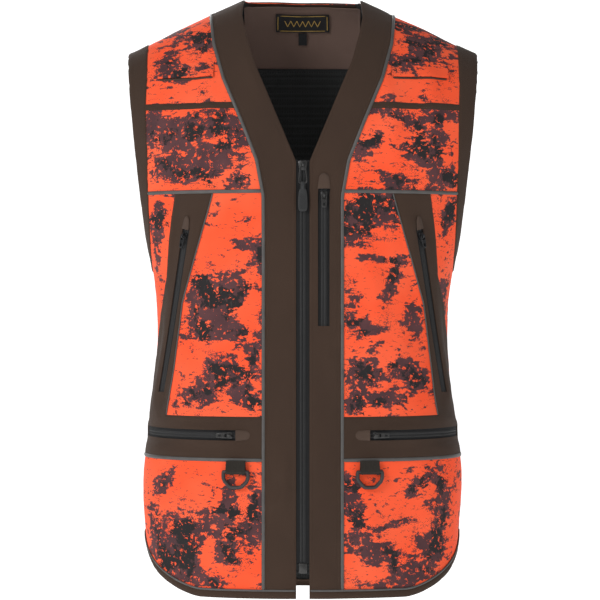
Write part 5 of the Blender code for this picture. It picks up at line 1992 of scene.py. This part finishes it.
for seam, runs in seams.items():
    for side, sign in (("left", 1), ("right", -1)):
        stitches(f"{seam}_stitches_{side}", [(sign * theta, level) for theta, level in runs])
window_edges = (CHEST_ZIP_X - CHEST_HALF - 0.0034, CHEST_ZIP_X + CHEST_HALF + 0.0034)
stitches(
    "chest_window_stitches",
    [upright_run(straight(x), CHEST_ZIP_Z[0], CHEST_ZIP_Z[1]) for x in window_edges],
)
print("seams stitched:", 2 * len(seams) + 1)

# %% Binding of the back neck, and painted shade strips under the shoulder flaps
theta = np.linspace(-1, 1, 90) * float(angle_of(np.array(NECK_X - 0.002), np.array(0.0), BACK_DEPTH))
binding_z = neckline(np.abs(theta)) - 0.0022
level = level_at(binding_z, np.abs(reach(theta, binding_z, BACK_DEPTH) * np.sin(theta)))
piping(
    "neck_binding", theta, level, 0.0085, 0.0040, 0.0, back=True, material=brown_twill,
)
# A brown strip under each flap's lower edge is painted shade: it stands for the dark slit under the flap.
for side, sign in (("left", 1), ("right", -1)):
    x = np.linspace(0.113, 0.183, 60)
    z = np.full(x.shape, -0.1105)
    piping(
        f"flap_shade_strip_{side}", sign * angle_of(x, z), level_at(z, x), 0.0026, 0.0008, 0.0006,
        material=brown_fold,
    )


# %% The label's border and its plain mark
def label_thread(name, corners):
    """Gold thread laid on the label through (x, z) corners."""
    corners = np.array(corners, float)
    steps = np.linspace(0, len(corners) - 1, 24 * (len(corners) - 1))
    x, z = (np.interp(steps, np.arange(len(corners)), corners[:, k]) for k in (0, 1))
    theta = angle_of(x, z, BACK_DEPTH)
    return piping(
        name, theta, level_at(z, np.abs(x)), 0.0011, 0.0005, -0.0086, back=True, material=gold_thread,
    )


frame_x, frame_low, frame_high = 0.0350, -0.0252, -0.0063
label_thread("label_border_top", ((-frame_x, frame_high), (frame_x, frame_high)))
label_thread("label_border_foot", ((-frame_x, frame_low), (frame_x, frame_low)))
for side, sign in (("left", 1), ("right", -1)):
    label_thread(f"label_border_{side}", ((sign * frame_x, frame_low), (sign * frame_x, frame_high)))
peaks = [(x, -0.0195 if k % 2 else -0.0120) for k, x in enumerate(np.linspace(-0.026, 0.026, 13))]
label_thread("label_mark", peaks)

# %% [markdown]
# ## Light and camera
# A plain pale floor rolls up into a plain pale wall, so that there is no line behind the
# vest. One large soft light stands to the left of the camera, a weaker one to the right,
# and the sky fills the shadows. The camera is level with the middle of the vest.

# %% Studio
CAMERA_PLACE = (-0.0035, -2.80, -0.3904)
CAMERA_ANGLE = math.radians(15.96)
camera_data = bpy.data.cameras.new("studio_camera")
camera = bpy.data.objects.new("studio_camera", camera_data)
bpy.context.scene.collection.objects.link(camera)
camera.location = CAMERA_PLACE
camera.rotation_euler = (QUARTER, 0, 0)
camera_data.angle = CAMERA_ANGLE
bpy.context.scene.camera = camera

bpy.ops.mesh.primitive_plane_add(size=12, location=(0, 0, -1.3))
floor = bpy.context.object
floor.name = "floor"
bpy.ops.object.mode_set(mode="EDIT")
bpy.ops.mesh.select_all(action="DESELECT")
bpy.ops.object.mode_set(mode="OBJECT")
for line in floor.data.edges:
    line.select = all(floor.data.vertices[i].co.y > 5 for i in line.vertices)
bpy.ops.object.mode_set(mode="EDIT")
bpy.ops.mesh.select_mode(type="EDGE")
bpy.ops.mesh.extrude_region_move(TRANSFORM_OT_translate={"value": (0, 0.0, 7)})
bpy.ops.mesh.select_all(action="SELECT")
bpy.ops.object.mode_set(mode="OBJECT")
roll = floor.modifiers.new("roll", "BEVEL")
roll.width = 2.0
roll.segments = 12
roll.limit_method = "ANGLE"
bpy.context.view_layer.objects.active = floor
bpy.ops.object.modifier_apply(modifier="roll")
bpy.ops.object.shade_smooth()
pale = Recipe("studio_white", "Object", roughness=0.9, emission_color=(1, 1, 1), emission_strength=0.6)
pale.set("base color", pale.mix(pale.noise(2.0), (0.90, 0.90, 0.90), (0.93, 0.93, 0.93)))
floor.data.materials.append(pale.material)


print("camera stands at", tuple(CAMERA_PLACE))

# %% Lights
def soft_light(name, place, aim, size, power):
    data = bpy.data.lights.new(name, "AREA")
    data.shape = "DISK"
    data.size = size
    data.energy = power
    light = bpy.data.objects.new(name, data)
    bpy.context.scene.collection.objects.link(light)
    light.location = place
    light.rotation_euler = (Vector(aim) - Vector(place)).to_track_quat("-Z", "Y").to_euler()


soft_light("key_light", (-2.2, -2.6, 1.1), (0, 0, -0.4), 1.5, 58)
soft_light("fill_light", (2.6, -2.2, 0.2), (0, 0, -0.4), 1.8, 7)
soft_light("back_light", (-1.0, 2.6, 1.4), (0, 0, -0.3), 1.8, 40)
world = bpy.data.worlds.new("sky")
bpy.context.scene.world = world
world.use_nodes = True
sky = world.node_tree.nodes["Background"]
sky.inputs["Color"].default_value = (1, 1, 1, 1)
sky.inputs["Strength"].default_value = 0.36
bpy.context.scene.view_settings.view_transform = "Standard"
